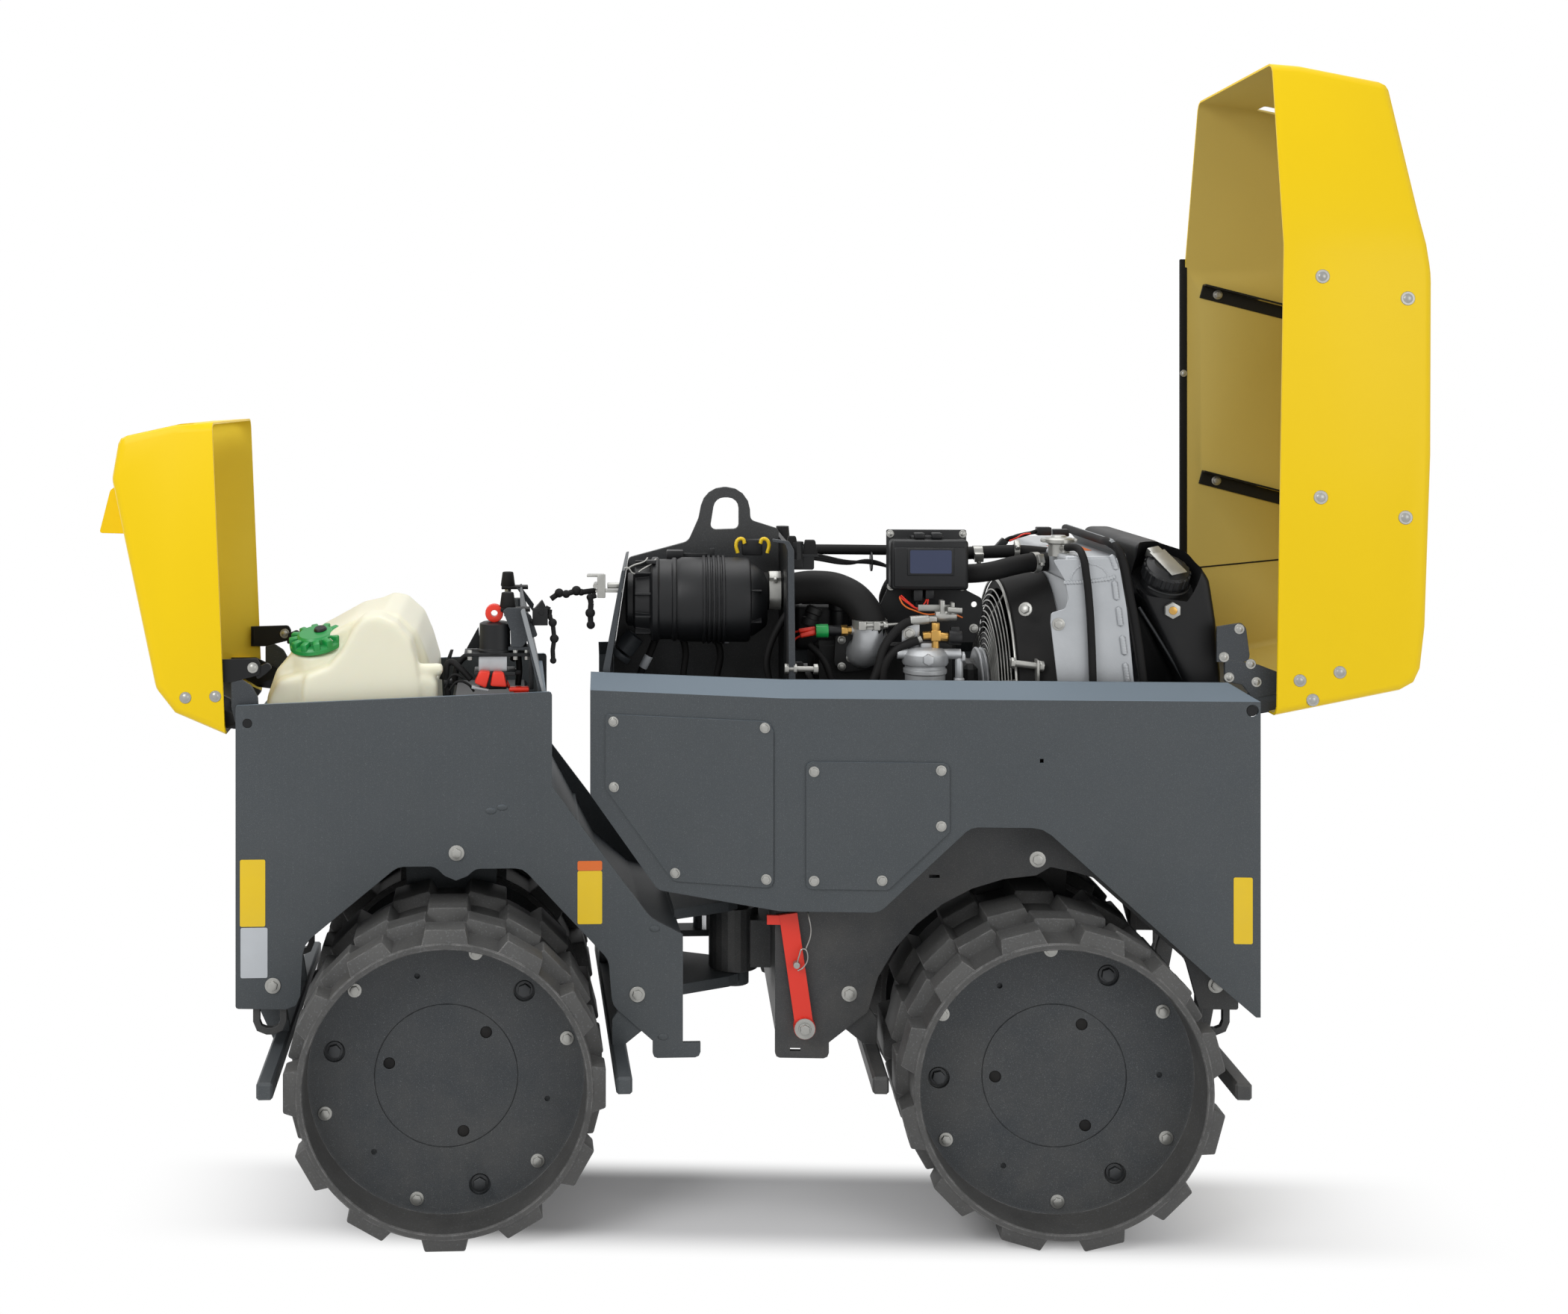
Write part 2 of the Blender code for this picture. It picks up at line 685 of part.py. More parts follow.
def rear_bay(parent, looks):
    """What stands in the open rear bay."""
    black, grey, zinc = (looks[key] for key in ("black", "grey", "zinc"))
    lean = [
        (-0.2475, 0.960, 0),
        (-0.2130, 1.142, 0.004),
        (-0.2070, 1.142, 0),
        (-0.2345, 0.960, 0),
        (-0.2345, 0.9003, 0),
        (-0.2410, 0.9003, 0),
    ]
    made = put("bulkhead_fore", plate(rounded(lean), -0.195, 0.195), parent, grey)
    cut(made, block((-0.3, -0.1), (-0.190, -0.170), (1.02, 1.06)))
    wall = put("bulkhead_mid", block((0.0880, 0.0960), (-0.225, 0.225), (0.5803, 1.190)), parent, grey)
    cut(wall, block((0.05, 0.13), (-0.090, 0.090), (0.60, 0.80)))
    join(
        wall,
        rod((0.1080, -0.190, 1.160), (0.1080, -0.190, 1.196), 0.016, 0.013, 12),
        block((0.0900, 0.118), (-0.206, -0.174), (1.150, 1.164)),
        rod((0.1080, 0.190, 1.160), (0.1080, 0.190, 1.196), 0.016, 0.013, 12),
        block((0.0900, 0.118), (0.174, 0.206), (1.150, 1.164)),
    )
    engine(parent, looks)
    air_cleaner(parent, looks)
    radiator(parent, looks)
    fuel_tank(parent, looks)
    case = block((0.285, 0.428), (-0.165, -0.105), (CONTROL_TOP - 0.102, CONTROL_TOP - 0.010), 0.006)
    box = put("control_box", case, parent, black)
    foot = DECK + 0.360
    bracket = [
        (0.262, foot, 0),
        (0.262, CONTROL_TOP, 0.006),
        (0.432, CONTROL_TOP, 0.006),
        (0.462, CONTROL_TOP - 0.130, 0.01),
        (0.436, foot, 0),
    ]
    ledge = block((0.30, 0.41), (-0.104, -0.060), (foot + SEAT, DECK + 0.372))
    join(box, plate(rounded(bracket), -0.106, -0.100), ledge)
    fuel_filter(parent, zinc)


def fuel_filter(parent, look):
    """The fuel filter on its arm from the cylinder head: bowl, head and the union on top."""
    x, y = 0.343, -0.190
    bowl = rod((x, y, DECK + 0.265), (x, y, DECK + 0.360), 0.038, sides=20)
    made = put("fuel_filter", bowl, parent, look, smooth=True)
    join(
        made,
        block((x - 0.040, x + 0.040), (y - 0.035, y + 0.052), (DECK + 0.356, DECK + 0.382), 0.006),
        rod((x, y, DECK + 0.378), (x, y, DECK + 0.405), 0.012),
        block((x - 0.018, x + 0.018), (y + 0.030, -0.095 - SEAT), (DECK + 0.330, DECK + 0.344)),
    )
    return made


def engine(parent, looks):
    """The diesel engine: crankcase, head, valve cover, flywheel housing, timing case and sump."""
    low = DECK
    crankcase = block((0.130, 0.430), (-0.130, 0.130), (low + 0.050, low + 0.285), 0.010)
    made = put("engine", crankcase, parent, looks["cast"])
    join(
        made,
        block((0.150, 0.415), (-0.095, 0.085), (low + 0.275, low + 0.360), 0.008),
        block((0.165, 0.400), (-0.055, 0.065), (low + 0.350, low + 0.410), 0.014, 2),
        rod((0.104, 0, low + 0.155), (0.135, 0, low + 0.155), 0.150, sides=28),
        block((0.425, 0.455), (-0.110, 0.110), (low + 0.060, low + 0.320), 0.010),
        block((0.160, 0.400), (-0.100, 0.100), (low, low + 0.060), 0.012),
        rod((0.200, -0.020, low + 0.400), (0.200, -0.020, low + 0.440), 0.022, sides=16),
        rod((0.300, 0, low + 0.400), (0.300, 0, low + 0.418), 0.020, sides=16),
        rod((0.450, 0, low + 0.260), (0.478, 0, low + 0.260), 0.055, sides=20),
        rod((0.450, 0, low + 0.100), (0.478, 0, low + 0.100), 0.065, sides=20),
        block((0.170, 0.300), (-0.185, -0.120), (low + 0.160, low + 0.260), 0.012),
        rod((0.240, 0.150, low + 0.220), (0.240, 0.150, low + 0.320), 0.040, sides=20),
        block((0.200, 0.280), (0.120, 0.160), (low + 0.230, low + 0.290), 0.006),
    )
    return made


def air_cleaner(parent, looks):
    """The intake: a ribbed canister, its hose and the elbow into the engine."""
    cap = [(0.052, -0.185), (0.064, -0.170), (0.072, -0.130), (0.074, -0.100)]
    ribs = [(0.079 if index % 2 else 0.074, -0.070 + 0.006 * index) for index in range(7)]
    body = [(0.073, 0.012), (0.068, 0.040), (0.060, 0.058)]
    profile = [(0, cap[0][1]), *cap, *ribs, *body, (0, body[-1][1])]
    made = put(
        "air_cleaner",
        turned(profile, 24, "X"),
        parent,
        looks["black"],
        at=(0, -0.105, CLEANER_HEIGHT),
        smooth=True,
    )
    join(made, rod((body[-1][1] - 0.004, 0, 0.010), (0.086, 0, 0.010), 0.031, sides=20))
    saddle = block((-0.020, 0.010), (-0.096, -0.008), (CLEANER_HEIGHT - 0.001, CLEANER_HEIGHT + 0.015))
    cradle = put("air_cleaner_strap", saddle, parent, looks["steel"])
    seat = rod((-0.1, -0.105, CLEANER_HEIGHT), (0.1, -0.105, CLEANER_HEIGHT), 0.0744, sides=24)
    cut(cradle, seat)
    route = [
        (0.1005, -0.105, CLEANER_HEIGHT + 0.010),
        (0.140, -0.108, CLEANER_HEIGHT + 0.012),
        (0.195, -0.120, CLEANER_HEIGHT + 0.007),
        (0.236, -0.142, CLEANER_HEIGHT - 0.013),
        (0.2465, -0.1505, DECK + 0.402),
        (0.2465, -0.1505, DECK + 0.385),
        (0.2465, -0.1505, DECK + 0.3688),
    ]
    hose("intake_hose", route, 0.029, parent, looks["rubber"])
    neck = rod((0.2465, -0.1505, DECK + 0.315), (0.2465, -0.1505, DECK + 0.368), 0.028, sides=16)
    elbow = put("intake_elbow", neck, parent, looks["alloy"], smooth=True)
    join(elbow, block((0.215, 0.280), (-0.165, -0.0955), (DECK + 0.290, DECK + 0.325), 0.008))
    return made


def radiator(parent, looks):
    """Cooling: aluminium radiator, its shroud, the fan behind its guard, and the two coolant hoses."""
    core = block((0.590, 0.680), (-0.228, 0.228), (DECK, RADIATOR_TOP), 0.004)
    made = put("radiator", core, parent, looks["alloy"])
    join(
        made,
        rod((0.615, -0.150, RADIATOR_TOP - 0.005), (0.615, -0.150, RADIATOR_TOP + 0.030), 0.026, sides=16),
        rod((0.560, -0.080, COOLANT_HEIGHT), (0.595, -0.080, COOLANT_HEIGHT), 0.018, sides=14),
    )
    cut(made, block((0.65, 0.70), (-0.18, 0.18), (DECK + 0.0597, RADIATOR_TOP - 0.045)))
    shroud = [
        (0.170, 0.535),
        (0.200, 0.535),
        (0.229, 0.5895),
        (0.222, 0.5895),
        (0.194, 0.541),
        (0.170, 0.541),
    ]
    ring = turned(shroud, 28, "X")
    put("fan_shroud", ring, parent, looks["black"], at=(0, 0, DECK + 0.260), smooth=True)
    hub = rod((0.4785, 0, 0), (0.530, 0, 0), 0.050, sides=20)
    fan = put("fan", hub, parent, looks["black"], at=(0, 0, DECK + 0.260))
    blades = []
    for index in range(6):
        blade = block((-0.003, 0.003), (-0.020, 0.020), (0.040, 0.160))
        pitch = Matrix.Translation((0.505, 0, 0)) @ Matrix.Rotation(0.5, 4, "Z")
        bmesh.ops.transform(blade, matrix=Matrix.Rotation(index * pi / 3, 4, "X") @ pitch, verts=blade.verts)
        blades.append(blade)
    join(fan, *blades)
    fan_guard(parent, looks["zinc"])
    upper = [
        (0.300, 0.0, DECK + 0.4185),
        (0.300, 0.0, DECK + 0.428),
        (0.300, 0.0, DECK + 0.438),
        (0.325, -0.010, DECK + 0.476),
        (0.390, -0.035, DECK + 0.500),
        (0.480, -0.070, COOLANT_HEIGHT),
        (0.530, -0.080, COOLANT_HEIGHT),
        (0.545, -0.080, COOLANT_HEIGHT),
        (0.5590, -0.080, COOLANT_HEIGHT),
    ]
    hose("coolant_hose", upper, 0.017, parent, looks["rubber"])


def fan_guard(parent, look):
    """The wire guard before the fan: rings on six spokes that end on the shroud."""
    wire = 0.0025
    face = 0.4865
    rings = []
    for radius, back in ((0.085, 0), (0.112, 0), (0.139, 0), (0.166, 0.004), (0.184, 0.018)):
        low, high = face + back - wire, face + back + wire
        section = [(radius - wire, low), (radius + wire, low), (radius + wire, high), (radius - wire, high)]
        rings.append(turned(section, 24, "X"))
    made = put("fan_guard", rings[0], parent, look, at=(0, 0, DECK + 0.260))
    spokes = []
    for index in range(6):
        spin = Matrix.Rotation(index * pi / 3 + 0.3, 4, "X")
        spoke = block((face - 0.0015, face + 0.0015), (-0.003, 0.003), (0.0835, 0.1895))
        leg = block((face - 0.001, 0.5347), (-0.0025, 0.0025), (0.1805, 0.1885))
        for shape in (spoke, leg):
            bmesh.ops.transform(shape, matrix=spin, verts=shape.verts)
            spokes.append(shape)
    join(made, *rings[1:], *spokes)
    return made


def fuel_tank(parent, looks):
    """The fuel tank behind the radiator, its filler cap, and the rubber edged panel between them."""
    top = RADIATOR_TOP
    outline = [
        (0.752, DECK, 0.015),
        (0.745, top - 0.003, 0.015),
        (0.765, top - 0.001, 0.015),
        (0.835, top - 0.070, 0.040),
        (0.862, top - 0.215, 0.020),
        (0.862, DECK, 0.015),
    ]
    made = put("fuel_tank", plate(rounded(outline), -0.228, 0.228), parent, looks["black"], smooth=True)
    base = Vector((0.806, -0.172, top - 0.047))
    toward = Vector((0.70, -0.30, 0.65)).normalized()
    join(made, rod(base - toward * 0.03, base + toward * 0.022, 0.028, sides=16))
    cap = rod(base + toward * (0.022 + SEAT), base + toward * 0.044, 0.034, 0.031, 18)
    put("fuel_cap", cap, parent, looks["black"])
    panel = [
        (0.7300, DECK, 0),
        (0.7300, top - 0.225, 0),
        (0.6990, top + 0.003, 0.015),
        (0.676, top + 0.030, 0),
        (0.671, top + 0.026, 0),
        (0.6930, top + 0.001, 0.01),
        (0.7240, top - 0.227, 0),
        (0.7240, DECK, 0),
    ]
    put("edge_panel", plate(rounded(panel), -0.220, 0.150), parent, looks["rubber"])


def shell(name, parent, look, outline, half_width, kink=None):
    """A hood pressed from one sheet: the roof follows the outline, open underneath."""
    shape = plate(rounded(outline), -half_width, half_width)
    sheets = [face for face in shape.faces if abs(face.normal.y) < 0.5]
    under = min(sheets, key=lambda face: face.calc_center_median().z)
    flat = [edge for edge in shape.edges if abs(edge.verts[0].co.y - edge.verts[1].co.y) < 1e-6]
    rims = [edge for edge in flat if under not in edge.link_faces]
    bmesh.ops.delete(shape, geom=[under], context="FACES_ONLY")
    bmesh.ops.bevel(shape, geom=rims, offset=HOOD_ROUND, segments=2, profile=0.5, affect="EDGES")
    if kink is not None:
        taper_inward(shape, kink, tan(radians(13.0)))
    made = put(name, shape, parent, look, smooth=True)
    wall = made.modifiers.new("wall", "SOLIDIFY")
    wall.thickness = HOOD_WALL
    wall.offset = -1
    wall.use_even_offset = True
    return made


def rear_hood(parent, look):
    """The long rear hood, drawn closed and measured from its hinge, with the lifting eye's slot."""
    outline = [
        (-1.155, 0.060, 0),
        (-1.150, 0.111, 0),
        (-1.116, 0.265, 0.020),
        (-0.878, 0.297, 0),
        (-0.770, 0.314, 0.2),
        (-0.452, 0.313, 0),
        (-0.149, 0.303, 0),
        (-0.043, 0.291, 0.045),
        (0.010, 0.042, 0),
    ]
    made = shell("rear_hood", parent, look, outline, SKIN_HALF_WIDTH, KINK_X - REAR_HINGE[0])
    arm = [
        (-0.020, -0.020, 0.012),
        (0.020, -0.020, 0.012),
        (0.0065, 0.050, 0),
        (-0.0065, 0.110, 0),
        (-0.014, 0.110, 0),
        (-0.030, 0.050, 0.010),
    ]
    join(made, plate(rounded(arm), -0.262, -0.256), plate(rounded(arm), 0.256, 0.262))
    wall = SKIN_HALF_WIDTH - HOOD_WALL
    for low_end, high_end in HOOD_STIFFENERS:
        foot, head = Vector(low_end), Vector(high_end)
        across = Vector((head.y - foot.y, foot.x - head.x)).normalized() * 0.014
        strip = [tuple(point) for point in (foot - across, foot + across, head + across, head - across)]
        edge = foot - across * 0.75, head - across * 0.75
        lip = [tuple(point) for point in (foot - across, *edge, head - across)]
        for side in (-1, 1):
            join(
                made,
                plate(strip, *sorted((side * (wall + 0.002), side * (wall - 0.003)))),
                plate(lip, *sorted((side * (wall + 0.001), side * (wall - 0.020)))),
            )
    cut(
        made,
        block((-1.030, -0.800), (-0.022, 0.022), (0.200, 0.400)),
        rod((0, -0.28, 0), (0, 0.28, 0), HINGE_PIN_RADIUS + 0.0005, sides=16),
    )
    return made


def front_hood(parent, looks):
    """The front hood, drawn closed and measured from its hinge, with the lamp housing on its nose."""
    outline = [
        (-0.022, 0.040, 0),
        (0.018, 0.131, 0),
        (0.062, 0.165, 0.030),
        (0.438, 0.243, 0.030),
        (0.514, 0.230, 0.020),
        (0.536, 0.130, 0),
        (0.5395, 0.063, 0),
    ]
    made = shell("front_hood", parent, looks["yellow"], outline, FRONT_HALF_WIDTH)
    arm = [
        (-0.018, -0.016, 0.012),
        (0.018, -0.016, 0.012),
        (0.050, 0.050, 0),
        (0.050, 0.100, 0),
        (0.024, 0.100, 0),
        (-0.010, 0.045, 0.010),
    ]
    for side in (-1, 1):
        low, high = sorted((side * 0.218, side * 0.224))
        foot = sorted((side * 0.221, side * 0.239))
        pin = rod((0, side * 0.220, 0), (0, side * 0.2395, 0), HINGE_PIN_RADIUS, sides=16)
        join(made, plate(rounded(arm), low, high), block((0.026, 0.048), foot, (0.060, 0.098)), pin)
    lamp = [(0.330, 0.2211, 0), (0.332, 0.292, 0.004), (0.412, 0.272, 0.010), (0.432, 0.2422, 0)]
    put("sensor_box", plate(rounded(lamp), -0.110, 0.110), parent, looks["yellow"])
    return made


def front_frame(parent, look):
    """The front body: arched side plates, front wall, floor, rear wall and the pivot's yoke."""
    middle = -WHEELBASE / 2
    side = [
        (FRONT_END, 0.909, 0.004),
        (FRONT_REAR_END, 0.930, 0.006),
        (FRONT_REAR_END, 0.757, 0.010),
        (-0.180, 0.519, 0.050),
        (-0.122, 0.489, 0),
        (-0.122, 0.293, 0),
        (-0.090, 0.293, 0),
        (-0.090, 0.266, 0.010),
        (-0.1765, 0.266, 0.008),
        (-0.1765, 0.297, 0),
        (-0.250, 0.362, 0.030),
        (-0.257, 0.445, 0.030),
        (middle + 0.134, 0.612, 0.030),
        (middle + 0.049, 0.612, 0.020),
        (middle + 0.014, 0.580, 0.030),
        (middle - 0.024, 0.617, 0.020),
        (middle - 0.091, 0.617, 0.030),
        (middle - 0.259, 0.480, 0.040),
        (middle - 0.266, 0.363, 0.025),
        (FRONT_END, 0.366, 0.005),
    ]
    outer, inner = FRONT_HALF_WIDTH, FRONT_HALF_WIDTH - FRONT_WALL
    lap = FRONT_WALL / 2
    made = put("front_frame", plate(rounded(side), -outer, -inner), parent, look)
    arm, ring, bore = carrier(middle)
    wall = [
        (-0.368, 0.915, 0),
        (-0.368, 0.757, 0.01),
        (-0.262, 0.560, 0.02),
        (-0.190, YOKE_HEIGHT + 0.085, 0.02),
        (-0.122, YOKE_HEIGHT + 0.065, 0),
        (-0.122, YOKE_HEIGHT - 0.115, 0),
        (-0.130, YOKE_HEIGHT - 0.115, 0),
        (-0.130, YOKE_HEIGHT + 0.057, 0),
        (-0.196, YOKE_HEIGHT + 0.079, 0.02),
        (-0.268, 0.554, 0.02),
        (-0.376, 0.754, 0.01),
        (-0.376, 0.915, 0),
    ]
    low, high = YOKE_HEIGHT - YOKE_HALF_HEIGHT, YOKE_HEIGHT + YOKE_HALF_HEIGHT
    tongue = [(-0.126, -0.110, 0), (-0.126, 0.110, 0), (0.010, 0.050, 0.045), (0.010, -0.050, 0.045)]
    clevis = (-0.126, STEER_EYE[0] + 0.024), (STEER_EYE[1] - 0.025, STEER_EYE[1] + 0.025)
    across = (-outer + lap, outer - lap)
    join(
        made,
        plate(rounded(side), inner, outer),
        block((FRONT_END + 0.002, FRONT_END + 0.010), across, (0.380, 0.850)),
        block((FRONT_END + 0.006, -0.300), across, (FLOOR_HEIGHT, FLOOR_HEIGHT + FLOOR_WALL)),
        plate(rounded(wall), -outer + lap, outer - lap),
        arm,
        ring,
        slab(rounded(tongue), low - YOKE_WALL, low),
        slab(rounded(tongue), high, high + YOKE_WALL),
        rod((0, 0, low - YOKE_WALL - 0.010), (0, 0, high + YOKE_WALL + 0.010), PIVOT_RADIUS, sides=24),
        block(*clevis, (YOKE_HEIGHT + 0.0145, YOKE_HEIGHT + 0.0265)),
        block(*clevis, (YOKE_HEIGHT - 0.0265, YOKE_HEIGHT - 0.0145)),
    )
    join(made, *scrapers(middle, inner, FRONT_END + 0.006))
    hinge_x, hinge_z = FRONT_HINGE
    pin_bore = rod((hinge_x, -0.3, hinge_z), (hinge_x, 0.3, hinge_z), HINGE_PIN_RADIUS + 0.0008, sides=16)
    cut(made, together(bore, pin_bore))
    return made


def front_bay(parent, looks):
    """What stands in the open front bay: the tank, the battery with its switch, and the rear bulkhead."""
    outline = [
        (-0.880, DECK, 0.02),
        (-0.880, 0.900, 0.02),
        (-0.835, 0.975, 0.02),
        (-0.745, 1.025, 0.02),
        (-0.700, 1.056, 0.03),
        (-0.605, 1.070, 0.04),
        (-0.565, 0.980, 0.03),
        (-0.560, DECK, 0.02),
    ]
    put("front_tank", plate(rounded(outline), -0.2125, 0.180), parent, looks["white"], smooth=True)
    lean = Vector((-0.05, 0, 0.09)).normalized()
    base = Vector((-0.793, -0.110, 0.975 + 0.042 * 5 / 9))
    cap = rod(base + lean * SEAT, base + lean * 0.030, 0.050, 0.046, 20)
    put("front_tank_cap", cap, parent, looks["green"])
    put("battery", block((-0.545, -0.400), (-0.200, 0.150), (DECK, 0.890), 0.006), parent, looks["black"])
    ledge = block((-0.520, -0.3914), (-0.215, -0.150), (0.958, 0.964))
    switch = put("battery_switch", ledge, parent, looks["steel"])
    join(
        switch,
        rod((-0.470, -0.182, 0.960), (-0.470, -0.182, 1.022), 0.026, sides=18),
        block((-0.500, -0.440), (-0.206, -0.160), (0.930, 0.962), 0.003),
        block((-0.500, -0.458), (-0.192, -0.172), (1.018, 1.050), 0.006),
    )
    lean = [
        (-0.4160, 1.075, 0.003),
        (-0.4100, 1.075, 0),
        (-0.3765, 0.925, 0),
        (-0.3765, DECK, 0),
        (-0.3825, DECK, 0),
        (-0.3825, 0.925, 0),
    ]
    wall = put("front_bulkhead", plate(rounded(lean), -0.225, 0.225), parent, looks["grey"])
    for y in (-0.185, 0.185):
        join(
            wall,
            block((-0.438, -0.396), (y - 0.020, y + 0.020), (1.000, 1.006)),
            rod((-0.4185, y, 1.003), (-0.4185, y, 1.050), 0.015, 0.012, 12),
        )
    return wall


def steering(root, front, looks):
    """The steering cylinder: its barrel turns on the rear frame, its eye sits in the front clevis."""
    base = Vector((*STEER_BASE, YOKE_HEIGHT))
    eye = Matrix.Rotation(STEER_AT_REST, 4, "Z") @ Vector((*STEER_EYE, YOKE_HEIGHT))
    along = eye - base
    length = along.length
    axis = empty("steer_barrel_axis", base, root, (0, 0, atan2(along.y, along.x)))
    end = length * BARREL_SHARE
    tube = rod((0.045, 0, 0), (end, 0, 0), 0.028, sides=18)
    barrel = put("steer_barrel", tube, axis, looks["black"], smooth=True)
    neck = block((0.01, 0.06), (-0.016, 0.016), (-0.012, 0.012))
    join(barrel, rod((0, 0, -0.015), (0, 0, 0.015), 0.026, sides=18), neck)
    bore = rod((0.065, 0, 0), (0.40, 0, 0), ROD_RADIUS + 0.0008, sides=16)
    cut(barrel, together(bore, rod((0, 0, -0.05), (0, 0, 0.05), PIN_RADIUS + 0.0005, sides=16)))
    shaft = rod((end - 0.063, 0, 0), (length - 0.015, 0, 0), ROD_RADIUS, sides=16)
    made = put("steer_rod", shaft, axis, looks["chrome"])
    join(made, rod((length, 0, -0.014), (length, 0, 0.014), 0.024, sides=18))
    up = Vector((0, 0, 0.034))
    anchor = put("steer_anchor", rod(base - up, base + up, PIN_RADIUS, sides=16), root, looks["frame"])
    reach = (base.y - 0.025, FRAME_HALF_WIDTH - FRAME_WALL - SEAT)
    for z in (base.z - 0.024, base.z + 0.024):
        join(anchor, block((base.x - 0.023, base.x + 0.027), reach, (z - 0.006, z + 0.006)))


def build():
    clear_scene()
    looks = {
        "body": finish("dark_grey_paint", (0.075, 0.085, 0.092), 0.55),
        "frame": finish("black_paint", (0.020, 0.021, 0.023), 0.55),
        "yellow": finish("yellow_paint", (0.93, 0.65, 0.005), 0.35),
        "drum": finish("drum_paint", (0.080, 0.080, 0.082), 0.60),
        "steel": finish("bracket_steel", (0.030, 0.032, 0.034), 0.50, 0.4),
        "grey": finish("grey_plate", (0.17, 0.19, 0.21), 0.50),
        "black": finish("black_plastic", (0.018, 0.018, 0.020), 0.45),
        "rubber": finish("black_rubber", (0.012, 0.012, 0.013), 0.75),
        "cast": finish("cast_block", (0.035, 0.036, 0.038), 0.60, 0.3),
        "alloy": finish("cast_alloy", (0.45, 0.46, 0.47), 0.40, 0.9),
        "zinc": finish("zinc_plate", (0.55, 0.55, 0.53), 0.35, 0.9),
        "chrome": finish("chrome_rod", (0.80, 0.80, 0.82), 0.12, 1.0),
        "white": finish("white_tank", (0.80, 0.77, 0.68), 0.45),
        "green": finish("green_cap", (0.02, 0.38, 0.10), 0.40),
        "red": finish("red_paint", (0.82, 0.035, 0.015), 0.40),
    }
    root = empty("rear_unit", (PIVOT_X, PIVOT_Y, 0))
    front = empty("front_unit", (0, 0, 0), root, (0, 0, STEER_AT_REST))
    half = WHEELBASE / 2
    rear_axis = empty("rear_drum_axis", (half, 0, AXLE_HEIGHT), root)
    front_axis = empty("front_drum_axis", (-half, 0, AXLE_HEIGHT), front)
    hinge = (REAR_HINGE[0], 0, REAR_HINGE[1])
    rear_hinge = empty("rear_hood_hinge", hinge, root, (0, REAR_HOOD_OPEN, 0))
    hinge = (FRONT_HINGE[0], 0, FRONT_HINGE[1])
    front_hinge = empty("front_hood_hinge", hinge, front, (0, FRONT_HOOD_OPEN, 0))

    for axis, unit, turn in ((rear_axis, "rear", REAR_LUG_TURN), (front_axis, "front", FRONT_LUG_TURN)):
        drum_half(f"{unit}_drum_near", axis, looks["drum"], turn, -1)
        drum_half(f"{unit}_drum_far", axis, looks["drum"], turn, 1)
        axle(f"{unit}_axle", axis, looks["steel"])

    rear_frame(root, looks["frame"])
    skin("skin_near", root, looks["body"], -1)
    skin("skin_far", root, looks["body"], 1)
    covers(root, looks["body"])
    rear_panel(root, looks["body"])
    lifting_plate(root, looks["frame"])
    lock_bar(root, looks["red"])
    tie_loops("rear", root, looks["frame"], FRAME_END - 0.042, 0.364, FRAME_HALF_WIDTH - FRAME_WALL)
    tie_loops("front", front, looks["frame"], FRONT_END + 0.060, 0.366, FRONT_HALF_WIDTH - FRONT_WALL)
    rear_bay(root, looks)
    rear_hood(rear_hinge, looks["yellow"])
    front_frame(front, looks["body"])
    front_bay(front, looks)
    front_hood(front_hinge, looks)
    steering(root, front, looks)


build()
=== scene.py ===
# Looks of the articulated trench roller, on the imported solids

from math import cos, pi, radians, sin, tan

import bmesh
import bpy
from mathutils import Matrix, Vector


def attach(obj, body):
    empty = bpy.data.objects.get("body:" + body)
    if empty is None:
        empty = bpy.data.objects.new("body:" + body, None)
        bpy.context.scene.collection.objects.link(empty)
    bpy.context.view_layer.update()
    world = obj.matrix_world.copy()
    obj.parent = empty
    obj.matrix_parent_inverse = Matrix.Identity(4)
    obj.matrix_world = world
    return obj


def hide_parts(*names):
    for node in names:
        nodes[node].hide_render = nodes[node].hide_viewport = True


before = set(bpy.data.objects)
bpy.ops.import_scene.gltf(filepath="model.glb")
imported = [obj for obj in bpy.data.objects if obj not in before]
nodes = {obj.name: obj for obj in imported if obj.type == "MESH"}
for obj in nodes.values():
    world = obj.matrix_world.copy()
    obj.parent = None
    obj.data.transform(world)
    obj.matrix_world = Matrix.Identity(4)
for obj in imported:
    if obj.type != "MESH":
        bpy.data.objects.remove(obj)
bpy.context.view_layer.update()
print("stage: frame loaded,", len(nodes), "nodes")

# Where the two units and the open hoods stand
stand = {
    "pivot": (-0.0061, 0.0336, 0.0), "turnAtRest": 4.92,
    "rearHinge": (0.899, 0.91), "frontHinge": (-0.905, 0.877),
}
rearPlace = Matrix.Translation(stand["pivot"])
frontPlace = rearPlace @ Matrix.Rotation(radians(stand["turnAtRest"]), 4, "Z")
hingeX, hingeZ = stand["rearHinge"]
rearHoodPlace = rearPlace @ Matrix.Translation((hingeX, 0, hingeZ)) @ Matrix.Rotation(radians(90), 4, "Y")
hingeX, hingeZ = stand["frontHinge"]
openTurn = Matrix.Rotation(radians(-90), 4, "Y")
frontHoodPlace = frontPlace @ Matrix.Translation((hingeX, 0, hingeZ)) @ openTurn
placeOf = {
    "rear_unit": rearPlace, "front_unit": frontPlace, "rear_hood": rearHoodPlace,
    "front_hood": frontHoodPlace,
}


# Shader effects that several finishes share
def newGroup(name, inputs, outputs):
    tree = bpy.data.node_groups.new(name, "ShaderNodeTree")
    for label, kind, value in inputs:
        socket = tree.interface.new_socket(label, in_out="INPUT", socket_type=kind)
        if value is not None:
            socket.default_value = value
    for label, kind in outputs:
        tree.interface.new_socket(label, in_out="OUTPUT", socket_type=kind)
    return tree, tree.nodes.new("NodeGroupInput"), tree.nodes.new("NodeGroupOutput")


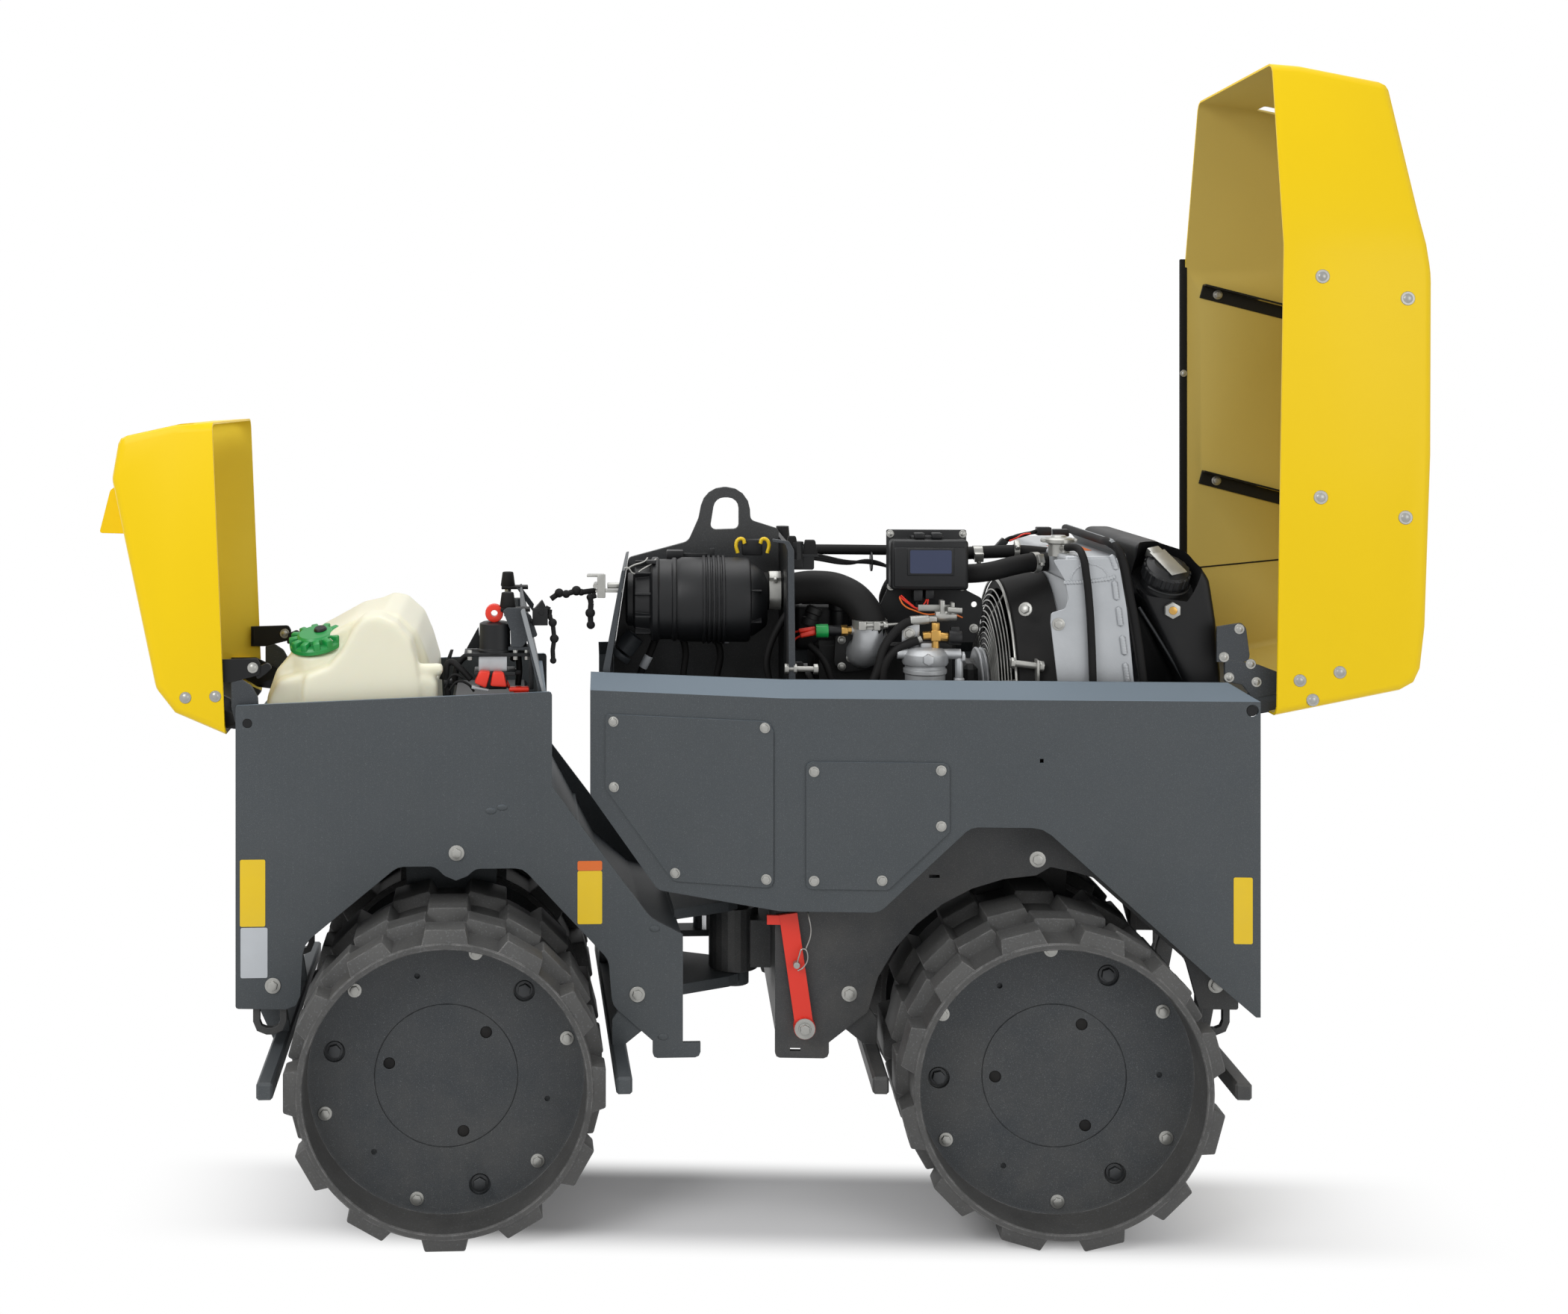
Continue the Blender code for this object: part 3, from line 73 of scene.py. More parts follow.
def addNode(tree, kind, values=None, **settings):
    node = tree.nodes.new(kind)
    for key, value in settings.items():
        setattr(node, key, value)
    for key, value in (values or {}).items():
        if isinstance(value, bpy.types.NodeSocket):
            tree.links.new(value, node.inputs[key])
        else:
            node.inputs[key].default_value = value
    return node


def mathNode(tree, operation, first, second=0.0, clamp=False):
    return addNode(
        tree, "ShaderNodeMath", {0: first, 1: second}, operation=operation, use_clamp=clamp,
    ).outputs[0]


def rangeNode(tree, value, span, low=0.0, high=1.0, **settings):
    values = {"Value": value, "From Min": span[0], "From Max": span[1], "To Min": low, "To Max": high}
    return addNode(tree, "ShaderNodeMapRange", values, **settings).outputs[0]


def buildGrainGroup():
    tree, start, end = newGroup(
        "fineGrain",
        [
            ("Vector", "NodeSocketVector", None), ("Scale", "NodeSocketFloat", 400.0),
            ("Blotch", "NodeSocketFloat", 6.0),
        ],
        [("Height", "NodeSocketFloat"), ("Tone", "NodeSocketFloat"), ("Speck", "NodeSocketFloat")],
    )
    fine = addNode(tree, "ShaderNodeTexNoise", {
        "Vector": start.outputs["Vector"], "Scale": start.outputs["Scale"], "Detail": 2.0,
    })
    wide = addNode(tree, "ShaderNodeTexNoise", {
        "Vector": start.outputs["Vector"], "Scale": start.outputs["Blotch"], "Detail": 5.0,
        "Roughness": 0.6,
    })
    speck = rangeNode(tree, fine.outputs[0], (0.58, 0.72))
    tree.links.new(fine.outputs[0], end.inputs["Height"])
    tree.links.new(wide.outputs[0], end.inputs["Tone"])
    tree.links.new(speck, end.inputs["Speck"])
    return tree


def buildEdgeGroup():
    tree, start, end = newGroup(
        "edgeWear",
        [
            ("Vector", "NodeSocketVector", None), ("Radius", "NodeSocketFloat", 0.002),
            ("Amount", "NodeSocketFloat", 0.5),
        ],
        [("Mask", "NodeSocketFloat"), ("Normal", "NodeSocketVector")],
    )
    soft = addNode(tree, "ShaderNodeBevel", {"Radius": start.outputs["Radius"]}, samples=4)
    plain = addNode(tree, "ShaderNodeNewGeometry")
    facing = addNode(tree, "ShaderNodeVectorMath", {
        0: soft.outputs[0], 1: plain.outputs["Normal"],
    }, operation="DOT_PRODUCT")
    bend = mathNode(tree, "SUBTRACT", 1.0, facing.outputs["Value"])
    rough = addNode(tree, "ShaderNodeTexNoise", {
        "Vector": start.outputs["Vector"], "Scale": 35.0, "Detail": 6.0, "Roughness": 0.7,
    })
    patchy = rangeNode(tree, rough.outputs[0], (0.42, 0.64))
    worn = mathNode(tree, "MULTIPLY", mathNode(tree, "MULTIPLY", bend, 9.0, True), patchy)
    tree.links.new(mathNode(tree, "MULTIPLY", worn, start.outputs["Amount"], True), end.inputs["Mask"])
    tree.links.new(soft.outputs[0], end.inputs["Normal"])
    return tree


def buildDustGroup():
    tree, start, end = newGroup("roadDust", [
        ("Vector", "NodeSocketVector", None), ("Low", "NodeSocketFloat", 0.0),
        ("High", "NodeSocketFloat", 0.9), ("Amount", "NodeSocketFloat", 0.3),
    ], [("Mask", "NodeSocketFloat")])
    split = addNode(tree, "ShaderNodeSeparateXYZ", {0: start.outputs["Vector"]})
    height = rangeNode(tree, split.outputs["Z"], (start.outputs["Low"], start.outputs["High"]), 1.0, 0.15)
    cloud = addNode(tree, "ShaderNodeTexNoise", {
        "Vector": start.outputs["Vector"], "Scale": 9.0, "Detail": 8.0, "Roughness": 0.68,
    })
    mask = mathNode(tree, "MULTIPLY", height, rangeNode(tree, cloud.outputs[0], (0.36, 0.72)))
    tree.links.new(mathNode(tree, "MULTIPLY", mask, start.outputs["Amount"], True), end.inputs["Mask"])
    return tree


grainGroup = buildGrainGroup()
edgeGroup = buildEdgeGroup()
dustGroup = buildDustGroup()


def colourOf(red, green, blue):
    def linear(value):
        value /= 255
        return value / 12.92 if value <= 0.04045 else ((value + 0.055) / 1.055) ** 2.4

    return (linear(red), linear(green), linear(blue), 1.0)


def mixColour(tree, amount, first, second):
    return addNode(tree, "ShaderNodeMix", {0: amount, 6: first, 7: second}, data_type="RGBA").outputs[2]


# What a finish has when it sets nothing else
plainFinish = {
    "blotch": 6.0, "edge": 0.0015, "metallic": 0.0, "dustLow": 0.0, "dustHigh": 0.9, "spread": 0.08,
    "speckColour": (140, 145, 148), "wornColour": (150, 152, 152), "dustColour": (150, 144, 134),
    # The slope and height spans pick the upward faces that get the painted top highlight
    "dustRoughness": 0.9, "grainDepth": 0.0004, "paintedTopHighlightSlope": (0.12, 0.45), "paintedTopHighlightHeight": (0.7, 0.85),
}


def makeLook(name, finish):
    first, second, rough, grainScale, bumpStrength, wear, more = finish
    look = {**plainFinish, **more}
    made = bpy.data.materials.new(name)
    made.use_nodes = True
    tree = made.node_tree
    shader = tree.nodes["Principled BSDF"]
    coordinates = addNode(tree, "ShaderNodeTexCoord")
    place = coordinates.outputs["Object"]

    def group(kind, **values):
        return addNode(tree, "ShaderNodeGroup", {"Vector": place, **values}, node_tree=kind)

    grain = group(grainGroup, Scale=grainScale, Blotch=look["blotch"])
    tone = grain.outputs["Tone"]
    colour = mixColour(tree, tone, colourOf(*first), colourOf(*second))
    if "speck" in look:
        amount = mathNode(tree, "MULTIPLY", grain.outputs["Speck"], look["speck"])
        colour = mixColour(tree, amount, colour, colourOf(*look["speckColour"]))
    roughness = rangeNode(tree, tone, (0.0, 1.0), rough - look["spread"], rough + look["spread"])
    # Faces turned up, high on the body, are mixed toward a pale bluish grey: a painted highlight of the
    # light from above
    if "paintedTopHighlight" in look:
        facing = addNode(tree, "ShaderNodeSeparateXYZ", {0: coordinates.outputs["Normal"]}).outputs["Z"]
        height = addNode(tree, "ShaderNodeSeparateXYZ", {0: place}).outputs["Z"]
        paintedTopHighlight = rangeNode(tree, facing, look["paintedTopHighlightSlope"])
        aloft = rangeNode(tree, height, look["paintedTopHighlightHeight"])
        amount = mathNode(tree, "MULTIPLY", paintedTopHighlight, aloft)
        colour = mixColour(tree, amount, colour, colourOf(*look["paintedTopHighlight"]))
    bump = addNode(tree, "ShaderNodeBump", {
        "Strength": bumpStrength, "Distance": look["grainDepth"], "Height": grain.outputs["Height"],
    })
    if look["edge"]:
        edge = group(edgeGroup, Radius=look["edge"], Amount=wear)
        tree.links.new(edge.outputs["Normal"], bump.inputs["Normal"])
        if wear:
            colour = mixColour(tree, edge.outputs["Mask"], colour, colourOf(*look["wornColour"]))
    if "dust" in look:
        dust = group(dustGroup, Low=look["dustLow"], High=look["dustHigh"], Amount=look["dust"])
        colour = mixColour(tree, dust.outputs["Mask"], colour, colourOf(*look["dustColour"]))
        mixed = {0: dust.outputs["Mask"], 2: roughness, 3: look["dustRoughness"]}
        roughness = addNode(tree, "ShaderNodeMix", mixed).outputs[0]
    tree.links.new(colour, shader.inputs["Base Color"])
    tree.links.new(roughness, shader.inputs["Roughness"])
    tree.links.new(bump.outputs[0], shader.inputs["Normal"])
    shader.inputs["Metallic"].default_value = look["metallic"]
    if "specular" in look:
        shader.inputs["Specular IOR Level"].default_value = look["specular"]
    for key, value in look.get("shader", {}).items():
        shader.inputs[key].default_value = value
    return made


# Each finish: colour, second colour, roughness, grain, bump, wear and what else it sets
finishes = {
    "bodyPaint": (
        (64, 69, 72), (73, 78, 82), 0.55, 900.0, 0.35, 0.25,
        # The body paint's pale bluish grey on upward faces is a painted top highlight
        {"specular": 0.38, "speck": 0.3, "dust": 0.06, "dustHigh": 1.0, "paintedTopHighlight": (112, 125, 136)},
    ),
    "framePaint": (
        (38, 40, 42), (50, 52, 54), 0.5, 700.0, 0.3, 0.35, {"speck": 0.2, "dust": 0.22, "dustHigh": 0.8},
    ),
    "hoodPaint": (
        (252, 214, 4), (247, 207, 3), 0.42, 260.0, 0.05, 0.0,
        {"specular": 0.22, "blotch": 2.5, "shader": {"Coat Weight": 0.06, "Coat Roughness": 0.2}},
    ),
    # Darker, duller copy of the hood yellow for the rear hood's inside faces: painted shade
    "hoodInsidePaintedShade": (
        (205, 182, 96), (214, 191, 106), 0.5, 260.0, 0.05, 0.0, {"specular": 0.35, "blotch": 2.5},
    ),
    # Paler, less saturated copy of the hood yellow for the front hood's inside faces: painted light
    "hoodInsideForePaintedLight": (
        (246, 220, 76), (238, 210, 62), 0.45, 260.0, 0.05, 0.0, {"specular": 0.3, "blotch": 2.5},
    ),
    "discPaint": (
        (40, 44, 47), (50, 54, 58), 0.6, 800.0, 0.3, 0.3, {"speck": 0.3, "dust": 0.12, "dustHigh": 0.7},
    ),
    "wornDrum": (
        (52, 52, 52), (86, 86, 85), 0.6, 300.0, 0.4, 0.9,
        {
            "blotch": 14.0, "speck": 0.22, "edge": 0.003, "wornColour": (158, 157, 156), "dust": 0.2,
            "dustHigh": 0.9, "dustColour": (104, 102, 99),
        },
    ),
    "blackPlastic": ((15, 16, 18), (23, 24, 26), 0.45, 1200.0, 0.2, 0.1, {"specular": 0.32}),
    "blackRubber": (
        (11, 11, 12), (20, 20, 21), 0.68, 500.0, 0.3, 0.08,
        {"specular": 0.22, "dust": 0.05, "dustHigh": 1.3},
    ),
    "bracketSteel": ((46, 48, 50), (62, 64, 66), 0.45, 600.0, 0.2, 0.5, {"metallic": 0.35}),
    "greyPlate": ((52, 56, 60), (64, 68, 72), 0.5, 700.0, 0.25, 0.3, {"specular": 0.35, "speck": 0.2}),
    "castIron": ((26, 27, 28), (46, 46, 46), 0.6, 260.0, 0.5, 0.3, {"metallic": 0.3, "blotch": 18.0}),
    "castAlloy": (
        (158, 161, 164), (196, 198, 200), 0.42, 340.0, 0.35, 0.3,
        {"metallic": 0.45, "blotch": 20.0, "wornColour": (210, 212, 214)},
    ),
    "zincPlate": (
        (140, 141, 138), (184, 183, 178), 0.34, 500.0, 0.1, 0.2,
        {"metallic": 0.6, "blotch": 30.0, "edge": 0.0008},
    ),
    "chromeRod": ((205, 206, 208), (222, 223, 225), 0.16, 900.0, 0.03, 0.0, {"metallic": 1.0, "edge": 0.0}),
    "ivoryTank": (
        (234, 231, 207), (243, 241, 220), 0.42, 200.0, 0.1, 0.0,
        {
            "blotch": 4.0, "edge": 0.004,
            "shader": {
                "Subsurface Weight": 0.25, "Subsurface Radius": (0.02, 0.015, 0.01),
                "Subsurface Scale": 1.0,
            },
        },
    ),
    "radiatorAlloy": (
        (160, 164, 168), (196, 199, 202), 0.42, 340.0, 0.3, 0.3,
        {"metallic": 0.3, "blotch": 12.0, "wornColour": (216, 218, 220)},
    ),
    "greenCap": ((22, 132, 62), (34, 158, 78), 0.34, 500.0, 0.1, 0.1, {}),
    "blackPaint": ((14, 15, 16), (22, 23, 25), 0.5, 700.0, 0.2, 0.2, {"specular": 0.28}),
    "labelYellow": ((244, 208, 26), (238, 198, 20), 0.4, 300.0, 0.05, 0.0, {"edge": 0.0, "dust": 0.15}),
    "labelOrange": ((232, 118, 40), (226, 108, 34), 0.4, 300.0, 0.05, 0.0, {"edge": 0.0, "dust": 0.15}),
    "labelWhite": ((206, 210, 214), (190, 196, 202), 0.4, 300.0, 0.05, 0.0, {"edge": 0.0, "dust": 0.2}),
    "greenBand": ((20, 150, 70), (30, 168, 84), 0.35, 400.0, 0.05, 0.0, {"edge": 0.0}),
    "moulding": (
        (9, 9, 11), (17, 18, 20), 0.5, 900.0, 0.25, 0.0,
        {"specular": 0.28, "edge": 0.0, "dust": 0.03, "dustHigh": 1.3},
    ),
    "palePlate": ((138, 142, 145), (156, 160, 163), 0.5, 500.0, 0.2, 0.2, {}),
    "brass": (
        (176, 136, 70), (196, 156, 88), 0.3, 500.0, 0.1, 0.2,
        {"metallic": 0.9, "blotch": 40.0, "edge": 0.0008},
    ),
    "labelBlue": ((36, 46, 74), (44, 54, 84), 0.35, 300.0, 0.03, 0.0, {"edge": 0.0}),
    "redPaint": ((226, 44, 26), (238, 58, 36), 0.38, 500.0, 0.12, 0.2, {}),
}
looks = {name: makeLook(name, look) for name, look in finishes.items()}
print("stage: finishes made,", len(looks))


# Camera, floor and lamps
photoView = {"place": (-0.1431, -3.4464, 1.471), "turn": 2.46, "lens": 40.9, "shift": (0.126, -0.169)}
camera = bpy.data.objects.new("photoCamera", bpy.data.cameras.new("photoCamera"))
bpy.context.scene.collection.objects.link(camera)
camera.location = photoView["place"]
camera.rotation_euler = (radians(90), 0, radians(photoView["turn"]))
camera.data.lens = photoView["lens"]
camera.data.sensor_width = 36.0
camera.data.shift_x, camera.data.shift_y = photoView["shift"]
bpy.context.scene.camera = camera
bpy.context.scene.view_settings.view_transform = "Standard"

studio = {
    "floorSize": 9.0, "dome": 0.5, "paper": (0.8, 0.8, 0.81, 1), "white": (1, 1, 1, 1), "shadowDepth": 0.95,
    "alongRise": (-1.15, -0.45), "alongFall": (0.5, 1.35), "acrossRise": (-0.42, -0.31),
    "acrossFall": (-0.12, -0.02),
}


def seenRays(tree):
    rays = addNode(tree, "ShaderNodeLightPath")
    some = mathNode(tree, "MAXIMUM", rays.outputs["Is Camera Ray"], rays.outputs["Is Glossy Ray"])
    return mathNode(tree, "MAXIMUM", some, rays.outputs["Is Transmission Ray"])


# A band along one axis that rises over one span and falls over another
def bandMask(tree, value, rise, fall):
    rising = rangeNode(tree, value, rise, interpolation_type="SMOOTHSTEP")
    falling = rangeNode(tree, value, fall, 1.0, 0.0, interpolation_type="SMOOTHSTEP")
    return mathNode(tree, "MULTIPLY", rising, falling)


def makeFloor():
    shape = bmesh.new()
    bmesh.ops.create_circle(shape, cap_ends=True, segments=64, radius=studio["floorSize"])
    mesh = bpy.data.meshes.new("studioFloor")
    shape.to_mesh(mesh)
    shape.free()
    floor = bpy.data.objects.new("studioFloor", mesh)
    bpy.context.scene.collection.objects.link(floor)
    look = bpy.data.materials.new("studioFloor")
    look.use_nodes = True
    tree = look.node_tree
    tree.nodes.remove(tree.nodes["Principled BSDF"])
    paper = addNode(tree, "ShaderNodeBsdfDiffuse", {"Color": studio["paper"]})
    glow = addNode(tree, "ShaderNodeEmission", {"Color": studio["white"], "Strength": 1.0})
    place = addNode(tree, "ShaderNodeTexCoord").outputs["Object"]
    split = addNode(tree, "ShaderNodeSeparateXYZ", {0: place})
    along = bandMask(tree, split.outputs["X"], studio["alongRise"], studio["alongFall"])
    across = bandMask(tree, split.outputs["Y"], studio["acrossRise"], studio["acrossFall"])
    shadow = mathNode(tree, "MULTIPLY", mathNode(tree, "MULTIPLY", along, across), studio["shadowDepth"])
    share = mathNode(tree, "MULTIPLY", mathNode(tree, "SUBTRACT", 1.0, shadow), seenRays(tree))
    blend = addNode(tree, "ShaderNodeMixShader", {0: share, 1: paper.outputs[0], 2: glow.outputs[0]})
    tree.links.new(blend.outputs[0], tree.nodes["Material Output"].inputs["Surface"])
    mesh.materials.append(look)


def makeWorld():
    world = bpy.data.worlds.new("studioWorld")
    bpy.context.scene.world = world
    world.use_nodes = True
    tree = world.node_tree
    for node in list(tree.nodes):
        tree.nodes.remove(node)
    strength = rangeNode(tree, seenRays(tree), (0.0, 1.0), studio["dome"], 1.0)
    sky = addNode(tree, "ShaderNodeBackground", {"Color": studio["white"], "Strength": strength})
    end = addNode(tree, "ShaderNodeOutputWorld")
    tree.links.new(sky.outputs[0], end.inputs["Surface"])


lampSettings = {
    "keyLamp": {"place": (-2.6, -3.2, 3.6), "aim": (0, 0, 0.8), "size": 2.4, "power": 80.0},
    "fillLamp": {"place": (3.0, -3.0, 1.8), "aim": (0.2, 0, 0.7), "size": 2.4, "power": 26.0},
    "topLamp": {"place": (0.2, 0.6, 4.2), "aim": (0, 0, 0), "size": 3.0, "power": 58.0},
}


def makeLamps():
    for name, lamp in lampSettings.items():
        data = bpy.data.lights.new(name, "AREA")
        data.shape = "DISK"
        data.size = lamp["size"]
        data.energy = lamp["power"]
        made = bpy.data.objects.new(name, data)
        bpy.context.scene.collection.objects.link(made)
        made.location = lamp["place"]
        made.rotation_euler = (
            Vector(lamp["aim"]) - Vector(lamp["place"])
        ).to_track_quat("-Z", "Y").to_euler()


makeFloor()
makeWorld()
makeLamps()
print("stage: camera, floor and lamps set")


# Shapes that the pieces start from
sharpFrom = 32


def boxShape(x, y, z, edge=0.0, segments=2):
    shape = bmesh.new()
    size = Vector((x[1] - x[0], y[1] - y[0], z[1] - z[0]))
    middle = Vector((x[0] + x[1], y[0] + y[1], z[0] + z[1])) / 2
    bmesh.ops.create_cube(shape, size=1.0, matrix=Matrix.Translation(middle) @ Matrix.Diagonal((*size, 1)))
    return bevelAll(shape, edge, segments)


def bevelAll(shape, edge, segments=2, angle=20):
    if edge:
        sharp = [
            line
            for line in shape.edges
            if len(line.link_faces) == 2 and line.calc_face_angle(0) > radians(angle)
        ]
        bmesh.ops.bevel(
            shape, geom=sharp, offset=edge, segments=segments, profile=0.5, affect="EDGES", material=-1,
            clamp_overlap=True,
        )
    return shape


def rodShape(start, end, radius, endRadius=None, sides=24, edge=0.0):
    shape = bmesh.new()
    along = Vector(end) - Vector(start)
    turn = along.to_track_quat("Z", "Y").to_matrix().to_4x4()
    bmesh.ops.create_cone(
        shape, cap_ends=True, segments=sides, radius1=radius,
        radius2=radius if endRadius is None else endRadius, depth=along.length,
        matrix=Matrix.Translation((Vector(start) + Vector(end)) / 2) @ turn,
    )
    return bevelAll(shape, edge, 2, 40)


def sheetShape(outline, low, high, edge=0.0, segments=2):
    shape = bmesh.new()
    face = shape.faces.new([shape.verts.new((x, low, z)) for x, z in outline])
    moved = bmesh.ops.extrude_face_region(shape, geom=[face])["geom"]
    bmesh.ops.translate(shape, verts=[
        item
        for item in moved
        if isinstance(item, bmesh.types.BMVert)
    ], vec=(0, high - low, 0))
    bmesh.ops.recalc_face_normals(shape, faces=shape.faces)
    return bevelAll(shape, edge, segments)


def turnedShape(profile, steps=48, axis="Y", at=(0, 0, 0)):
    shape = bmesh.new()
    points = [shape.verts.new((radius, along, 0)) for radius, along in profile]
    edges = [shape.edges.new(pair) for pair in zip(points, points[1:] + points[:1])]
    bmesh.ops.spin(
        shape, geom=points + edges, axis=(0, 1, 0), cent=(0, 0, 0), steps=steps, angle=2 * pi,
        use_merge=True,
    )
    bmesh.ops.remove_doubles(shape, verts=shape.verts, dist=1e-6)
    lone = [line for line in shape.edges if not line.link_faces]
    bmesh.ops.delete(shape, geom=lone, context="EDGES")
    turn = {
        "Y": Matrix(), "X": Matrix.Rotation(-pi / 2, 4, "Z"), "Z": Matrix.Rotation(pi / 2, 4, "X"),
    }[axis]
    bmesh.ops.transform(shape, matrix=Matrix.Translation(at) @ turn, verts=shape.verts)
    bmesh.ops.recalc_face_normals(shape, faces=shape.faces)
    return shape


def joined(shapes):
    whole = bmesh.new()
    for shape in shapes:
        mesh = bpy.data.meshes.new("scrap")
        shape.to_mesh(mesh)
        shape.free()
        whole.from_mesh(mesh)
        bpy.data.meshes.remove(mesh)
    return whole


def moved(shape, matrix):
    bmesh.ops.transform(shape, matrix=matrix, verts=shape.verts)
    if matrix.determinant() < 0:
        bmesh.ops.reverse_faces(shape, faces=shape.faces)
    return shape


def piece(name, shape, body, look, stands=(), place=None):
    moved(shape, placeOf[body] if place is None else place)
    mesh = bpy.data.meshes.new(name)
    shape.to_mesh(mesh)
    shape.free()
    made = bpy.data.objects.new(name, mesh)
    bpy.context.scene.collection.objects.link(made)
    mesh.materials.append(looks[look])
    mesh.shade_smooth()
    mesh.set_sharp_from_angle(angle=radians(sharpFrom))
    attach(made, body)
    if stands:
        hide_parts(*stands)
    return made


# Turns an object's modifiers into its mesh
def settle(made):
    whole = bpy.data.meshes.new_from_object(made.evaluated_get(bpy.context.evaluated_depsgraph_get()))
    made.modifiers.clear()
    old = made.data
    made.data = whole
    bpy.data.meshes.remove(old)
    return whole


def carve(made, cutter):
    mesh = bpy.data.meshes.new("cutter")
    cutter.to_mesh(mesh)
    cutter.free()
    tool = bpy.data.objects.new("cutter", mesh)
    bpy.context.scene.collection.objects.link(tool)
    modifier = made.modifiers.new("carve", "BOOLEAN")
    modifier.operation = "DIFFERENCE"
    modifier.solver = "EXACT"
    modifier.object = tool
    whole = settle(made)
    bpy.data.objects.remove(tool)
    bpy.data.meshes.remove(mesh)
    whole.set_sharp_from_angle(angle=radians(sharpFrom))


# Hex bolts with washers, all of one group in one piece
def boltShape(at, toward, size, head, washer, spin):
    toward = Vector(toward).normalized()
    base = Vector(at)
    low, high = base - toward * 0.001, base + toward * head * 0.28
    disc = rodShape(low, high, size * washer, sides=20, edge=head * 0.08)
    hexPart = rodShape(base, base + toward * head, size, sides=6, edge=head * 0.14)
    bmesh.ops.rotate(hexPart, verts=hexPart.verts, cent=base, matrix=Matrix.Rotation(spin, 3, toward))
    return joined([disc, hexPart])


def bolts(name, places, toward, body, size=0.008, head=0.006, washer=1.45, look="zincPlate"):
    shapes = [boltShape(at, toward, size, head, washer, 0.9 * index) for index, at in enumerate(places)]
    return piece(name, joined(shapes), body, look)


# Drums: ring, shell, recessed disc, lugs and bolts
drum = {
    "shell": 0.2545, "wall": 0.012, "half": 0.41, "inner": 0.065, "ring": 0.132, "recess": 0.077,
    "discWall": 0.014, "groove": 0.125, "axleHeight": 0.27581, "axleReach": 0.546, "gap": 0.0012,
    "insideFrom": 0.235, "lugs": 12, "lugFoot": (0.04134, 0.24706), "lugTip": (0.03484, 0.27581),
    "lugSlope": 0.007, "lugEdge": 0.0032, "frontTurn": 270.0, "rearTurn": 285.0, "steps": 96,
}


def lugRow(low, high, turn):
    foot, tip = drum["lugFoot"], drum["lugTip"]
    shape = boxShape((-foot[0], foot[0]), (low, high), (foot[1], tip[1]))
    middle = (0, (low + high) / 2, (tip[1] + foot[1]) / 2)
    top = [point for point in shape.verts if point.co.z > middle[2]]
    shrink = (tip[0] / foot[0], 1 - 2 * drum["lugSlope"] / (high - low), 1)
    bmesh.ops.scale(shape, vec=shrink, space=Matrix.Translation((0, -middle[1], 0)), verts=top)
    upper = [line for line in shape.edges if any(point in top for point in line.verts)]
    bmesh.ops.bevel(
        shape, geom=upper, offset=drum["lugEdge"], segments=2, profile=0.5, affect="EDGES", material=-1,
    )
    moved(shape, Matrix.Rotation(pi / 2 - turn, 4, "Y"))
    count = drum["lugs"]
    bmesh.ops.spin(
        shape, geom=shape.verts[:] + shape.edges[:] + shape.faces[:], axis=(0, 1, 0), cent=(0, 0, 0),
        steps=count - 1, angle=2 * pi * (count - 1) / count, use_duplicate=True,
    )
    return shape


def drumProfile():
    disc = drum["half"] - drum["recess"]
    inside = drum["shell"] - drum["wall"]
    joint = drum["half"] - drum["ring"]
    return [
        (drum["shell"], joint - 0.004), (drum["shell"], drum["inner"] + 0.002),
        (drum["shell"] - 0.002, drum["inner"]), (inside, drum["inner"]), (inside, disc - drum["discWall"]),
        (0, disc - drum["discWall"]), (0, disc), (drum["groove"] - 0.001, disc),
        (drum["groove"] - 0.001, disc - 0.002), (drum["groove"] + 0.001, disc - 0.002),
        (drum["groove"] + 0.001, disc), (inside - 0.006, disc), (inside - 0.0015, disc + 0.002),
        (inside, disc + 0.007), (inside, drum["half"] - 0.002), (inside + 0.002, drum["half"]),
        (drum["shell"] - 0.002, drum["half"]), (drum["shell"], drum["half"] - 0.002),
        (drum["shell"], joint + 0.004), (drum["shell"] - 0.003, joint),
    ]


def ringPlaces(radius, first, count, along):
    turns = [first + index * 2 * pi / count for index in range(count)]
    return [(radius * cos(turn), along, radius * sin(turn)) for turn in turns]


# The disc's pockets in threes: bolt circle, first angle, depth, radius and sides
discPockets = {
    "bolt": (0.2, 17, 0.008, 0.019, 32), "hole": (0.182, 76.2, 0.006, 0.005, 16),
    "plug": (0.102, 17, 0.003, 0.0105, 20),
}
rimBolts = {"circle": 0.22, "first": 46.5, "count": 6}


